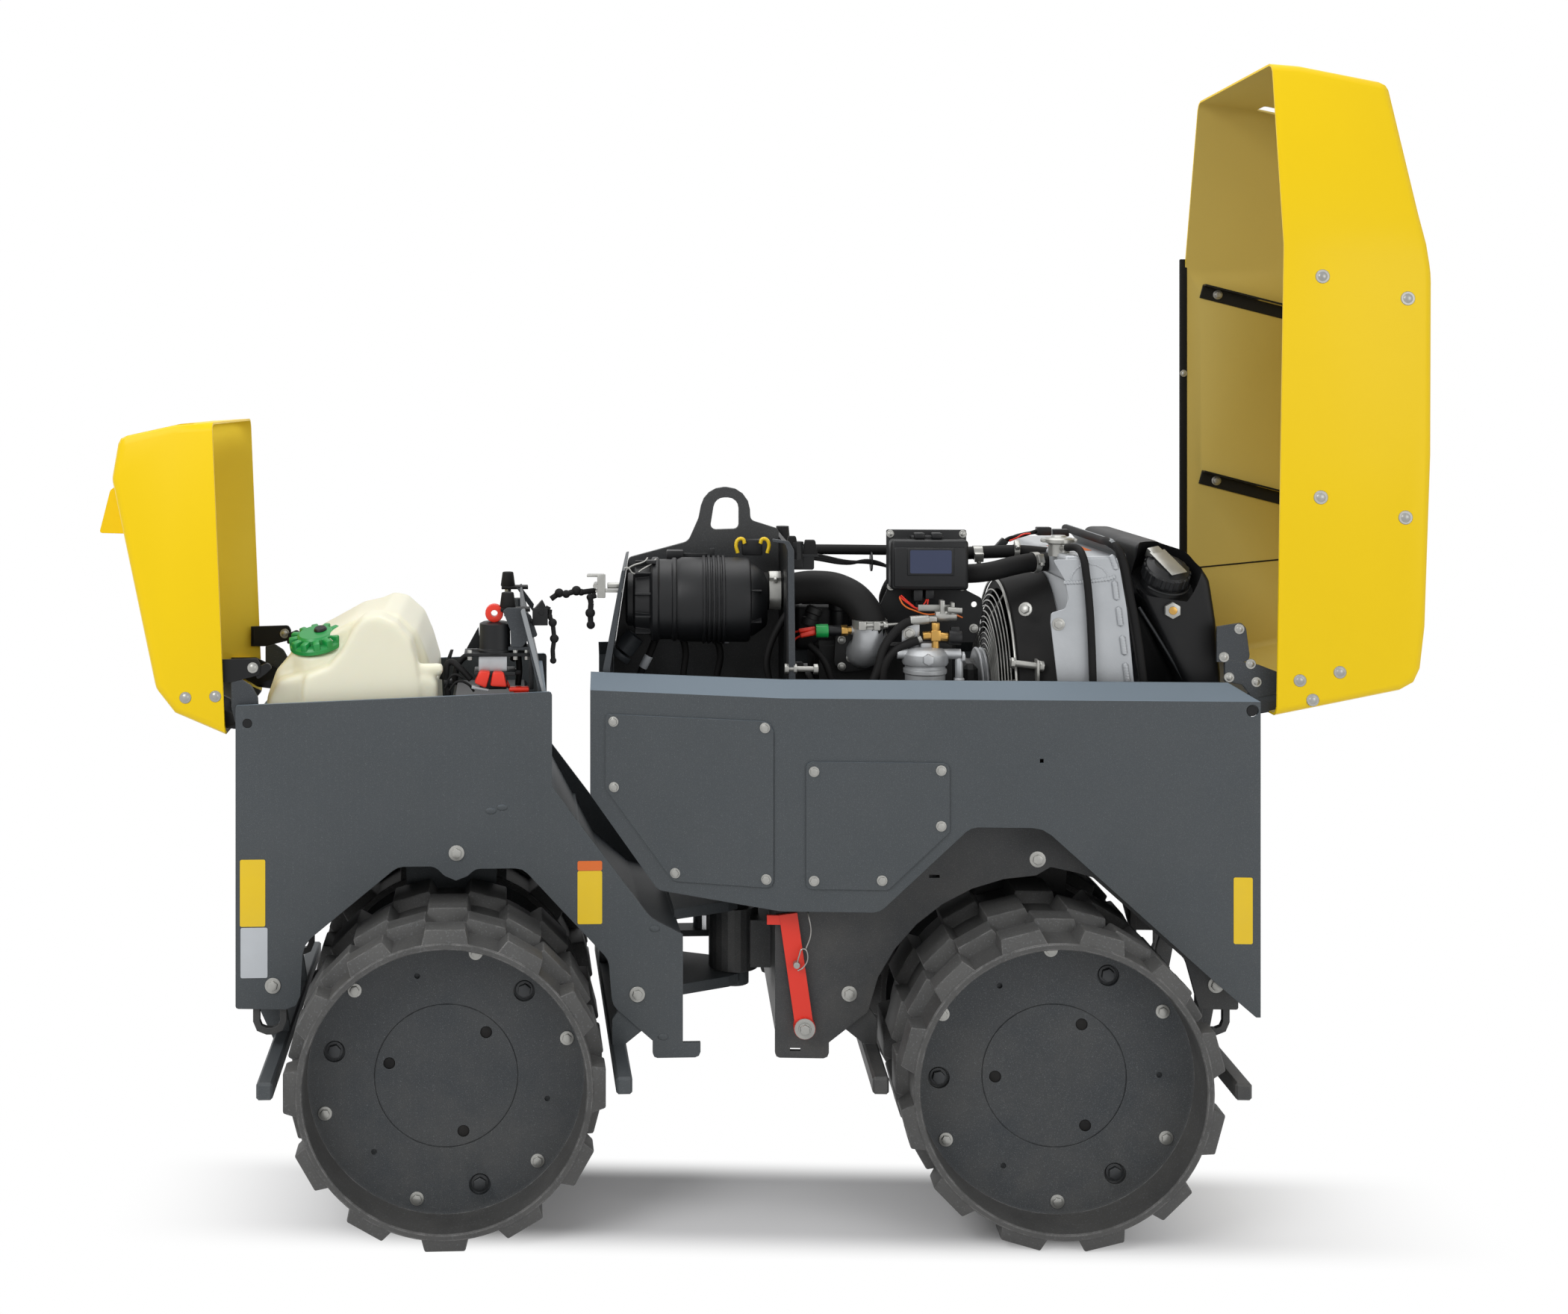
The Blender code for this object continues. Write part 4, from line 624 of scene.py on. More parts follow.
def drumHalf(unit, word, side, turn):
    name, body = f"{unit}Drum{word}", f"{unit}_drum"
    shape = turnedShape([(radius, side * along) for radius, along in drumProfile()], drum["steps"])
    disc = side * (drum["half"] - drum["recess"])
    made = piece(name, shape, body, "discPaint", (f"{body}_{word.lower()}",), Matrix())
    pockets = []
    for circle, first, depth, radius, sides in discPockets.values():
        for x, y, z in ringPlaces(circle, turn + radians(first), 3, disc):
            ends = [(x, y - side * depth, z), (x, y + side * 0.008, z)]
            pockets.append(rodShape(*ends, radius, sides=sides))
    carve(made, joined(pockets))
    made.data.materials.append(looks["wornDrum"])
    for face in made.data.polygons:
        corners = [made.data.vertices[index].co for index in face.vertices]
        reach = max(Vector((corner.x, corner.z)).length for corner in corners)
        inShell = reach > drum["shell"] - drum["wall"] + 0.0005
        inWall = inShell or (abs(face.normal.y) < 0.5 and reach > drum["insideFrom"])
        face.material_index = 1 if inWall else 0
    made.data.transform(placeOf[body])
    half, ring, inner, gap = drum["half"], drum["ring"], drum["inner"], drum["gap"]
    joint = half - ring
    rows = [(half - ring / 2 + gap, half - 0.001), (joint + gap, half - ring / 2)]
    rows += [((joint + inner) / 2 + gap, joint), (inner + 0.001, (joint + inner) / 2)]
    shapes = []
    for row, (low, high) in enumerate(rows):
        shapes.append(lugRow(*sorted((side * low, side * high)), turn + (row % 2) * pi / drum["lugs"]))
    piece(f"{name}Lugs", joined(shapes), body, "wornDrum")
    toward = (0, side, 0)
    rim = ringPlaces(rimBolts["circle"], turn + radians(rimBolts["first"]), rimBolts["count"], disc)
    bolts(f"{name}RimBolts", rim, toward, body, 0.0085)
    circle, first, depth = discPockets["bolt"][:3]
    deep = ringPlaces(circle, turn + radians(first), 3, disc - side * depth)
    bolts(f"{name}DeepBolts", deep, toward, body, 0.012, 0.01, 1.3, "bracketSteel")
    circle, first, depth = discPockets["plug"][:3]
    plugs = []
    for at in ringPlaces(circle, turn + radians(first), 3, disc - side * depth):
        plug = turnedShape([(0, 0), (0.0098, 0), (0.0098, 0.002), (0.007, 0.0042), (0, 0.005)], 24)
        plugs.append(moved(plug, Matrix.Translation(at) @ Matrix.Diagonal((1, side, 1, 1))))
    piece(f"{name}Plugs", joined(plugs), body, "blackRubber")


for unit, along in (("rear", drum["axleReach"]), ("front", -drum["axleReach"])):
    placeOf[f"{unit}_drum"] = placeOf[f"{unit}_unit"] @ Matrix.Translation((along, 0, drum["axleHeight"]))
    for word, side in (("Near", -1), ("Far", 1)):
        drumHalf(unit, word, side, radians(drum[f"{unit}Turn"]))
print("stage: drums built")


# Helpers for the small pieces
def rearPiece(name, shapes, look, stands=()):
    return piece(name, joined(shapes), "rear_unit", look, stands)


def frontPiece(name, shapes, look, stands=()):
    return piece(name, joined(shapes), "front_unit", look, stands)


def aim(at, toward):
    return Matrix.Translation(at) @ Vector(toward).normalized().to_track_quat("Z", "Y").to_matrix().to_4x4()


def tubes(name, routes, radius, look, stands=(), rings=3, body="rear_unit"):
    curve = bpy.data.curves.new(name, "CURVE")
    curve.dimensions = "3D"
    curve.bevel_depth = radius
    curve.bevel_resolution = rings
    curve.resolution_u = 8
    curve.use_fill_caps = True
    for route in routes:
        line = curve.splines.new("BEZIER")
        line.bezier_points.add(len(route) - 1)
        for point, at in zip(line.bezier_points, route):
            point.co = placeOf[body] @ Vector(at)
            point.handle_left_type = "AUTO"
            point.handle_right_type = "AUTO"
    curve.materials.append(looks[look])
    made = bpy.data.objects.new(name, curve)
    bpy.context.scene.collection.objects.link(made)
    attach(made, body)
    if stands:
        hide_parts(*stands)
    return made


def band(at, toward, radius, width=0.012, wall=0.0012, spin=0.0):
    ring = turnedShape([
        (radius, -width / 2), (radius + wall, -width / 2), (radius + wall, width / 2), (radius, width / 2),
    ], 32, "Z")
    screw = boxShape((-0.009, 0.009), (radius, radius + 0.009), (-width / 2, width / 2), 0.001)
    head = rodShape((-0.014, radius + 0.006, 0), (-0.008, radius + 0.006, 0), 0.0045, sides=6, edge=0.0006)
    return moved(joined([ring, screw, head]), aim(at, toward) @ Matrix.Rotation(spin, 4, "Z"))


def outlineOf(corners, steps=4):
    points = []
    for index, (x, z, radius) in enumerate(corners):
        here = Vector((x, z))
        if not radius:
            points.append((x, z))
            continue
        before = (Vector(corners[index - 1][:2]) - here).normalized()
        after = (Vector(corners[(index + 1) % len(corners)][:2]) - here).normalized()
        half = before.angle(after) / 2
        centre = here + (before + after).normalized() * radius / sin(half)
        first = here + before * radius / tan(half) - centre
        sweep = first.angle_signed(here + after * radius / tan(half) - centre)
        for step in range(steps + 1):
            arm = first.copy()
            arm.rotate(Matrix.Rotation(-sweep * step / steps, 2))
            points.append(tuple(centre + arm))
    return points


# Side plates' bolts, blank plates and weld spots
taper = radians(12.0)
side = {"skinHalf": 0.3, "kink": 0.079, "frontHalf": 0.241, "coverWall": 0.0033}


# A place on a fore cover, where the skin tapers toward the pivot
def onSkin(x, z, way):
    inward = max(0.0, side["kink"] - x) * tan(taper)
    return (x, way * (side["skinHalf"] + side["coverWall"] - inward), z)


# Bolts of both sides: body, size, head, washer, and places as x, half width and z
plateBolts = {
    "coverBoltsAft": (
        "rear_unit", 0.0072, 0.005, 1.3,
        [
            (0.131, 0.3033, 0.797), (0.355, 0.3033, 0.801), (0.355, 0.3033, 0.7025), (0.131, 0.3033, 0.603),
            (0.251, 0.3033, 0.605),
        ],
    ),
    "frameBolts": (
        "rear_unit", 0.0095, 0.007, 1.5,
        [(0.1996, 0.241, 0.383), (0.5245, 0.3, 0.645), (0.853, 0.241, 0.408)],
    ),
    "frontPlateBolts": (
        "front_unit", 0.0095, 0.007, 1.5,
        [(-0.531, 0.241, 0.641), (-0.8595, 0.241, 0.407), (-0.205, 0.241, 0.382)],
    ),
}
foreBolts = [(-0.227, 0.871), (0.0446, 0.8726), (-0.226, 0.752), (-0.115, 0.603), (0.047, 0.603)]
for word, way in (("Near", -1), ("Far", 1)):
    lean = (-sin(taper), way * cos(taper), 0)
    bolts(f"coverBoltsFore{word}", [
        onSkin(x, z, way)
        for x, z in foreBolts
    ], lean, "rear_unit", 0.0072, 0.005, 1.3)
    for name, (body, size, head, washer, places) in plateBolts.items():
        spots = [(x, way * y, z) for x, y, z in places]
        bolts(f"{name}{word}", spots, (0, way, 0), body, size, head, washer)

blankPlates = {
    "blankYellowFore": ("front_unit", "labelYellow", (-0.918, -0.873), (0.513, 0.633)),
    "blankWhiteFore": ("front_unit", "labelWhite", (-0.917, -0.869), (0.421, 0.511)),
    "blankYellowMiddle": ("front_unit", "labelYellow", (-0.313, -0.2685), (0.51, 0.606)),
    "blankOrangeMiddle": ("front_unit", "labelOrange", (-0.313, -0.2685), (0.6065, 0.624)),
    "blankYellowRear": ("rear_unit", "labelYellow", (0.866, 0.899), (0.5, 0.617)),
}
for name, (body, look, x, z) in blankPlates.items():
    face = side["frontHalf"] if body == "front_unit" else side["skinHalf"]
    corners = [(x[0], z[0], 0.003), (x[1], z[0], 0.003), (x[1], z[1], 0.003), (x[0], z[1], 0.003)]
    piece(name, sheetShape(outlineOf(corners, 3), -face - 0.0006, -face - 0.0001), body, look)


weldSpots = {
    "weldSpotUpper": [(-0.469, 0.716), (-0.449, 0.722)], "weldSpotLower": [(-0.173, 0.5), (-0.158, 0.304)],
}
for name, spots in weldSpots.items():
    shapes = []
    for x, z in spots:
        blob = bmesh.new()
        bmesh.ops.create_uvsphere(blob, u_segments=16, v_segments=8, radius=1.0)
        size = Matrix.Diagonal((0.01, 0.0022, 0.006, 1))
        shapes.append(moved(blob, Matrix.Translation((x, -side["frontHalf"], z)) @ size))
    frontPiece(name, shapes, "bodyPaint")

# Transport lock: washer, bolt and spring clip over the red bar
lock = {"pivot": (0.118, -0.2603, 0.325), "washerWall": 0.0022, "clip": (0.103, -0.257, 0.447)}
wall = lock["washerWall"]
washer = [(0.006, 0), (0.0185, 0), (0.0185, -wall), (0.006, -wall)]
rearPiece("lockWasher", [turnedShape(washer, 32, "Y", lock["pivot"])], "zincPlate")
x, y, z = lock["pivot"]
bolts("lockBolt", [(x, y - wall, z)], (0, -1, 0), "rear_unit", 0.0095, 0.007, 1.2)
x, y, z = lock["clip"]
pin = rodShape((x, y + 0.002, z - 0.006), (x, y - 0.012, z - 0.006), 0.006, sides=20, edge=0.001)
rearPiece("lockPin", [pin], "zincPlate")
clipWire = [
    [
        (x, y - 0.008, z - 0.012), (x + 0.004, y - 0.01, z + 0.01), (x + 0.012, y - 0.01, z + 0.024),
        (x + 0.02, y - 0.009, z + 0.01), (x + 0.012, y - 0.008, z - 0.01),
        (x + 0.002, y - 0.008, z - 0.016),
    ],
    [
        (x + 0.016, y - 0.006, z + 0.02), (x + 0.026, y - 0.002, z + 0.05),
        (x + 0.022, y + 0.002, z + 0.08), (x + 0.02, y + 0.01, z + 0.088),
    ],
]
tubes("lockClip", clipWire, 0.0013, "zincPlate")
print("stage: side plates and transport lock dressed")


# Rear hood: fasteners, stiffeners and the seal on its far rim. Drawn closed, measured from the hinge.
rearHood = {
    "half": 0.3, "wall": 0.004,
    "upper": [(-0.764, 0.121), (-0.725, 0.268), (-0.376, 0.118), (-0.341, 0.264)],
    "lower": [(-0.054, 0.082), (-0.069, 0.151), (-0.02, 0.104)],
    "stiffeners": [((-0.772, 0.088), (-0.72, 0.288)), ((-0.384, 0.086), (-0.332, 0.286))],
}


def domeBolts(name, places, toward, body, size):
    shapes = []
    for at in places:
        dome = turnedShape([
            (0, size * 0.42), (size * 0.6, size * 0.3), (size * 0.85, size * 0.08), (size * 0.85, 0),
            (0, 0),
        ], 24, "Z")
        washer = turnedShape([(0, 0.0012), (size * 1.15, 0.0012), (size * 1.25, 0), (0, 0)], 24, "Z")
        shapes.append(moved(joined([dome, washer]), aim(at, toward)))
    return piece(name, joined(shapes), body, "zincPlate")


for word, way in (("Near", -1), ("Far", 1)):
    spots = [(x, way * rearHood["half"], z) for x, z in rearHood["upper"]]
    domeBolts(f"rearHoodBolts{word}", spots, (0, way, 0), "rear_hood", 0.01)
    spots = [(x, way * rearHood["half"], z) for x, z in rearHood["lower"]]
    domeBolts(f"rearHoodHingeBolts{word}", spots, (0, way, 0), "rear_hood", 0.009)
    inner = rearHood["half"] - rearHood["wall"]
    strips = []
    for foot, head in rearHood["stiffeners"]:
        foot, head = Vector(foot), Vector(head)
        across = Vector((head.y - foot.y, foot.x - head.x)).normalized() * 0.0145
        flat = [tuple(point) for point in (foot - across, foot + across, head + across, head - across)]
        strips.append(sheetShape(flat, *sorted((way * (inner + 0.001), way * (inner - 0.0036))), 0.0006, 1))
        lip = [
            tuple(point)
            for point in (foot - across, foot - across * 0.72, head - across * 0.72, head - across)
        ]
        strips.append(sheetShape(lip, *sorted((way * (inner + 0.001), way * (inner - 0.0206))), 0.0006, 1))
    piece(f"hoodStiffeners{word}", joined(strips), "rear_hood", "blackPaint")
    spots = [(x, way * (inner - 0.0036), z) for x, z in rearHood["upper"]]
    bolts(f"stiffenerNuts{word}", spots, (0, -way, 0), "rear_hood", 0.007, 0.006, 1.4)
seal = boxShape((-0.839, -0.067), (0.2955, 0.3035), (0.0445, 0.06), 0.002)
piece("rearHoodSeal", seal, "rear_hood", "blackRubber")
sealStuds = [(x, 0.2955, 0.052) for x in (-0.6, -0.22)]
domeBolts("hoodSealStuds", sealStuds, (0, -1, 0), "rear_hood", 0.006)
endBolts = [(-1.1325, y, 0.186) for y in (-0.12, -0.03, 0.09)]
domeBolts("rearHoodNoseBolts", endBolts, (-0.976, 0, 0.216), "rear_hood", 0.007)

# Plates at the hinge pins, dark seams of the far wall and the bolts through them
hingePlates = {
    "upper": [
        (-0.143, -0.05, 0), (-0.08, -0.05, 0), (-0.08, 0.009, 0.012), (-0.141, 0.001, 0.01),
        (-0.15, -0.007, 0.006),
    ],
    "proud": [
        (-0.086, -0.036, 0), (-0.075, 0.025, 0.006), (-0.06, 0.064, 0), (-0.026, 0.064, 0),
        (-0.015, 0.013, 0.01), (-0.04, -0.006, 0.01), (-0.045, -0.036, 0),
    ],
    "bolts": [(-0.139, -0.011), (-0.077, 0.009), (-0.045, 0.019), (-0.089, -0.038), (-0.053, -0.029)],
    "seam": ((-0.192, 0.06), (-0.215, 0.285)),
}
for word, way in (("Near", -1), ("Far", 1)):
    upper = sheetShape(outlineOf(hingePlates["upper"]), *sorted((way * 0.2555, way * 0.262)), 0.0006, 1)
    proud = sheetShape(outlineOf(hingePlates["proud"]), *sorted((way * 0.253, way * 0.2626)), 0.0008, 1)
    foot = boxShape((-0.058, -0.028), sorted((way * 0.2555, way * 0.2965)), (0.06, 0.064), 0.001)
    piece(f"hoodHingePlate{word}", joined([upper, proud, foot]), "rear_hood", "greyPlate")
    spots = [(x, way * (0.2545 if word == "Far" else 0.262), z) for x, z in hingePlates["bolts"]]
    domeBolts(f"hoodHingeNuts{word}", spots, (0, -1, 0), "rear_hood", 0.0075)
hingeX, hingeZ = stand["rearHinge"]
pinEnds = [
    rodShape((hingeX, way * 0.2962, hingeZ), (hingeX, way * 0.2985, hingeZ), 0.0094, sides=24)
    for way in (-1, 1)
]
rearPiece("rearHingePins", pinEnds, "blackPaint")
pinEnds = [rodShape((0, way * 0.2385, 0), (0, way * 0.2402, 0), 0.0082, sides=24) for way in (-1, 1)]
piece("frontHingePins", joined(pinEnds), "front_hood", "blackPaint")
seamLine = [(x, 0.2965, z) for x, z in hingePlates["seam"]]
tubes("hoodSeam", [seamLine], 0.0017, "blackRubber", body="rear_hood")

# Front hood: hinge straps, fasteners and eyelets
frontHood = {"half": 0.241, "bolts": [(0.047, 0.11), (0.049, 0.057)]}


# A point (x, z) of the open hood on the front unit, in the drawing of the closed hood
def closedFront(x, z):
    return (z - stand["frontHinge"][1], stand["frontHinge"][0] - x)


frontHinge = {
    "bracket": [
        (-0.966, 0.99, 0), (-0.889, 0.992, 0.008), (-0.884, 0.982, 0.004), (-0.884, 0.962, 0.006),
        (-0.936, 0.949, 0), (-0.966, 0.949, 0),
    ],
    "arm": [
        (-0.889, 0.976, 0.004), (-0.872, 0.983, 0.006), (-0.861, 0.976, 0.006), (-0.874, 0.963, 0.02),
        (-0.893, 0.95, 0.004),
    ],
    "ear": [
        (-0.936, 0.949, 0), (-0.917, 0.954, 0.006), (-0.899, 0.942, 0.01), (-0.888, 0.922, 0.012),
        (-0.886, 0.884, 0.012), (-0.905, 0.862, 0.016), (-0.928, 0.872, 0.016), (-0.936, 0.905, 0.01),
    ],
    "bolt": (-0.897, 0.975),
}
for word, way in (("Near", -1), ("Far", 1)):
    spots = [(x, way * frontHood["half"], z) for x, z in frontHood["bolts"]]
    domeBolts(f"frontHoodBolts{word}", spots, (0, way, 0), "front_hood", 0.0085)
    shapes = []
    for part, low, high in (("bracket", 0.2255, 0.229), ("arm", 0.218, 0.226), ("ear", 0.2235, 0.228)):
        corners = [(*closedFront(x, z), radius) for x, z, radius in frontHinge[part]]
        shapes.append(sheetShape(outlineOf(corners), *sorted((way * low, way * high)), 0.0008, 1))
    foot = boxShape((0.076, 0.11), sorted((way * 0.2255, way * 0.2375)), (0.054, 0.06), 0.001)
    piece(f"frontHinge{word}", joined([shapes[0], shapes[1], foot]), "front_hood", "blackPaint")
    piece(f"frontHingeEar{word}", shapes[2], "front_hood", "greyPlate")
    x, z = closedFront(*frontHinge["bolt"])
    domeBolts(f"frontHingeNut{word}", [(
        x, way * (0.229 if word == "Near" else 0.2255), z,
    )], (0, -1, 0), "front_hood", 0.008)


# The hoods' own skins: yellow outside, and on the inside faces copies of the yellow with the light painted
# in, painted shade in the rear hood and painted light in the front hood, with slots that clear the rubber
# latches
hoodSkins = {
    "rear_hood": {
        "inside": "hoodInsidePaintedShade", "plates": "greyPlate", "plateReach": 0.125, "plateHalf": 0.2635,
        "middle": (-0.57, 0, 0.12), "slotX": (-1.175, -1.095), "slotY": (0.143, 0.197),
        "slotZ": (0.168, 0.242),
    },
    "front_hood": {
        "inside": "hoodInsideForePaintedLight", "plates": "blackPaint", "plateReach": 0.125, "plateHalf": 0.231,
        "middle": (0.26, 0, 0.06), "slotX": (0.495, 0.57), "slotY": (0.176, 0.228), "slotZ": (0.095, 0.228),
    },
}


def paintHood(name, skin):
    place = placeOf[name]
    shape = bmesh.new()
    shape.from_mesh(nodes[name].data)
    bmesh.ops.remove_doubles(shape, verts=shape.verts, dist=1e-6)
    made = piece(name.replace("_hood", "HoodSkin"), shape, name, "hoodPaint", (name,), Matrix())
    slots = [
        boxShape(skin["slotX"], sorted(way * y for y in skin["slotY"]), skin["slotZ"], 0.006)
        for way in (-1, 1)
    ]
    carve(made, moved(joined(slots), place))
    made.data.materials.append(looks[skin["inside"]])
    made.data.materials.append(looks[skin["plates"]])
    middle, back = place @ Vector(skin["middle"]), place.inverted()
    for face in made.data.polygons:
        corners = [back @ made.data.vertices[index].co for index in face.vertices]
        nearHinge = all(abs(corner.x) < skin["plateReach"] for corner in corners)
        spread = [abs(corner.y) for corner in corners]
        isPlate = nearHinge and max(spread) < skin["plateHalf"] and min(spread) > skin["plateHalf"] - 0.03
        # Faces turned toward the hood's middle take the inside copy of the yellow, with painted shade in
        # the rear hood and painted light in the front hood
        face.material_index = 2 if isPlate else 1 if face.normal.dot(middle - face.center) > 0 else 0


for name, skin in hoodSkins.items():
    paintHood(name, skin)
print("stage: hoods dressed")


def moulded(name, shapes, body, look, stands, grain, passes):
    made = piece(name, joined(shapes), body, look, stands)
    melt = made.modifiers.new("melt", "REMESH")
    melt.mode = "VOXEL"
    melt.voxel_size = grain
    soften = made.modifiers.new("soften", "SMOOTH")
    soften.factor = 0.5
    soften.iterations = passes
    settle(made).shade_smooth()
    return made


def beads(route, radius, pitch):
    shapes = []
    for start, end in zip(route, route[1:]):
        start, end = Vector(start), Vector(end)
        count = max(1, round((end - start).length / pitch))
        for index in range(count):
            blob = bmesh.new()
            bmesh.ops.create_icosphere(blob, subdivisions=1, radius=radius)
            moved(
                blob, Matrix.Translation(start.lerp(end, index / count)) @ Matrix.Diagonal((1, 0.6, 1, 1)),
            )
            shapes.append(blob)
    return shapes


# Air cleaner: canister, cap, wire clips, clamp, hose and elbow
cleaner = {
    "place": (0, -0.105, 1.079), "radius": 0.0795, "capEnd": -0.207, "ribStart": -0.063, "ribPitch": 0.009,
    "ribs": 5, "bodyEnd": 0.058, "outlet": (0.06, -0.105, 1.095), "hoseRadius": 0.03,
    "neck": (0.2465, -0.1505),
}


def makeAirCleaner():
    r, end = cleaner["radius"], cleaner["capEnd"]
    outline = [
        (0, end), (r - 0.036, end), (r - 0.03, end + 0.004), (r - 0.029, end + 0.014),
        (r - 0.018, end + 0.018),
    ]
    outline += [
        (r - 0.014, end + 0.045), (r - 0.004, end + 0.048), (r, end + 0.051), (r, end + 0.06),
        (r - 0.004, end + 0.064),
    ]
    outline += [
        (r - 0.004, end + 0.086), (r - 0.001, end + 0.089), (r - 0.001, end + 0.094),
        (r - 0.004, end + 0.097), (r, end + 0.106),
    ]
    for index in range(cleaner["ribs"]):
        x = cleaner["ribStart"] + index * cleaner["ribPitch"]
        outline += [(r, x), (r + 0.0035, x + 0.001), (r + 0.0035, x + 0.005), (r, x + 0.006)]
    outline += [
        (r, 0.02), (r - 0.002, 0.025), (r - 0.01, 0.027), (r - 0.012, 0.033), (r - 0.026, 0.052),
        (r - 0.032, cleaner["bodyEnd"]),
    ]
    outline += [(0, cleaner["bodyEnd"])]
    shapes = [turnedShape(outline, 64, "X")]
    for turn in (48, 14, -20, -54, 82, 120):
        ledge = boxShape((end + 0.018, end + 0.047), (-0.0022, 0.0022), (r - 0.03, r - 0.005), 0.0008, 1)
        shapes.append(moved(ledge, Matrix.Rotation(radians(90 - turn), 4, "X")))
    for turn in (20, -30):
        ledge = boxShape((0.024, 0.046), (-0.0015, 0.0015), (r - 0.04, r - 0.008), 0.0006, 1)
        shapes.append(moved(ledge, Matrix.Rotation(radians(90 - turn), 4, "X")))
    for shape in shapes:
        moved(shape, Matrix.Translation(cleaner["place"]))
    rearPiece("airCleanerBody", shapes, "blackPlastic", ("air_cleaner",))
    clips = [
        [
            (-0.213, -0.15, 1.128), (-0.206, -0.152, 1.143), (-0.19, -0.148, 1.131),
            (-0.176, -0.146, 1.139), (-0.158, -0.142, 1.15), (-0.15, -0.13, 1.157),
        ],
        [(-0.206, -0.14, 1.138), (-0.192, -0.138, 1.146), (-0.172, -0.13, 1.152), (-0.166, -0.118, 1.158)],
    ]
    tubes("cleanerClips", clips, 0.0016, "zincPlate")
    rearPiece("cleanerLatches", [
        boxShape((-0.168, -0.15), (-0.15, -0.128), (1.15, 1.156), 0.001),
        boxShape((-0.13, -0.098), (-0.075, -0.045), (1.15, 1.168), 0.002),
        boxShape((-0.047, -0.039), (-0.072, -0.048), (1.15, 1.172), 0.001),
        boxShape((-0.112, -0.052), (-0.06, -0.054), (1.15, 1.162), 0.001),
    ], "blackPlastic")


def makeIntakeHose():
    x, y, z = cleaner["outlet"]
    neckX, neckY = cleaner["neck"]
    r = cleaner["hoseRadius"]
    route = [
        (x + 0.002, y, z), (x + 0.04, y - 0.001, z + 0.004), (0.15, -0.111, z + 0.01),
        (0.198, -0.124, z + 0.003),
    ]
    route += [(0.234, -0.143, z - 0.024), (neckX, neckY, z - 0.054), (neckX, neckY, z - 0.08)]
    tubes("intakeHoseBent", [route], r, "blackRubber", ("intake_hose",), 5)
    rearPiece("cleanerStub", [
        rodShape((0.04, y, z), (0.064, y, z), 0.04, 0.034, 32),
        rodShape((0.085, y, z + 0.002), (0.094, y, z + 0.003), r + 0.003, sides=32, edge=0.001),
    ], "blackRubber")
    clamp = band((x + 0.013, y, z + 0.001), (1, 0, 0), r + 0.005, 0.022, 0.0015, 0.7)
    rearPiece("cleanerClamp", [clamp], "zincPlate")
    tight = [
        band((neckX, neckY, 1.041), (0, 0, 1), r + 0.001, 0.015, 0.0015, 2.4),
        rodShape((0.232, -0.186, 1.041), (0.298, -0.176, 1.043), 0.003, sides=12),
        rodShape((0.268, -0.181, 1.042), (0.276, -0.18, 1.042), 0.0065, sides=6, edge=0.0006),
        boxShape((0.222, 0.236), (-0.19, -0.18), (1.033, 1.049), 0.0015),
        boxShape((0.25, 0.262), (-0.189, -0.178), (1.033, 1.049), 0.0015),
    ]
    rearPiece("elbowClamp", tight, "zincPlate")
    bend = [
        (neckX, neckY, 1.036), (neckX - 0.001, neckY, 1.01), (neckX - 0.004, neckY + 0.006, 0.994),
        (neckX - 0.01, -0.118, 0.984), (neckX - 0.014, -0.096, 0.984),
    ]
    tubes("intakeElbowBent", [bend], 0.0305, "castAlloy", ("intake_elbow",), 6)
    flange = [
        (0.186, 1.014, 0.009), (0.212, 1.026, 0.01), (0.284, 1.028, 0.012), (0.29, 0.985, 0.01),
        (0.262, 0.952, 0.012), (0.2, 0.944, 0.012), (0.184, 0.96, 0.009),
    ]
    rearPiece("elbowFlange", [sheetShape(outlineOf(flange), -0.1195, -0.108, 0.0015)], "castIron")
    bolts("flangeBolts", [
        (0.198, -0.1195, 1.006), (0.198, -0.1195, 0.956), (0.275, -0.1195, 1.016), (0.214, -0.1195, 0.972),
    ], (0, -1, 0), "rear_unit", 0.0055, 0.006)


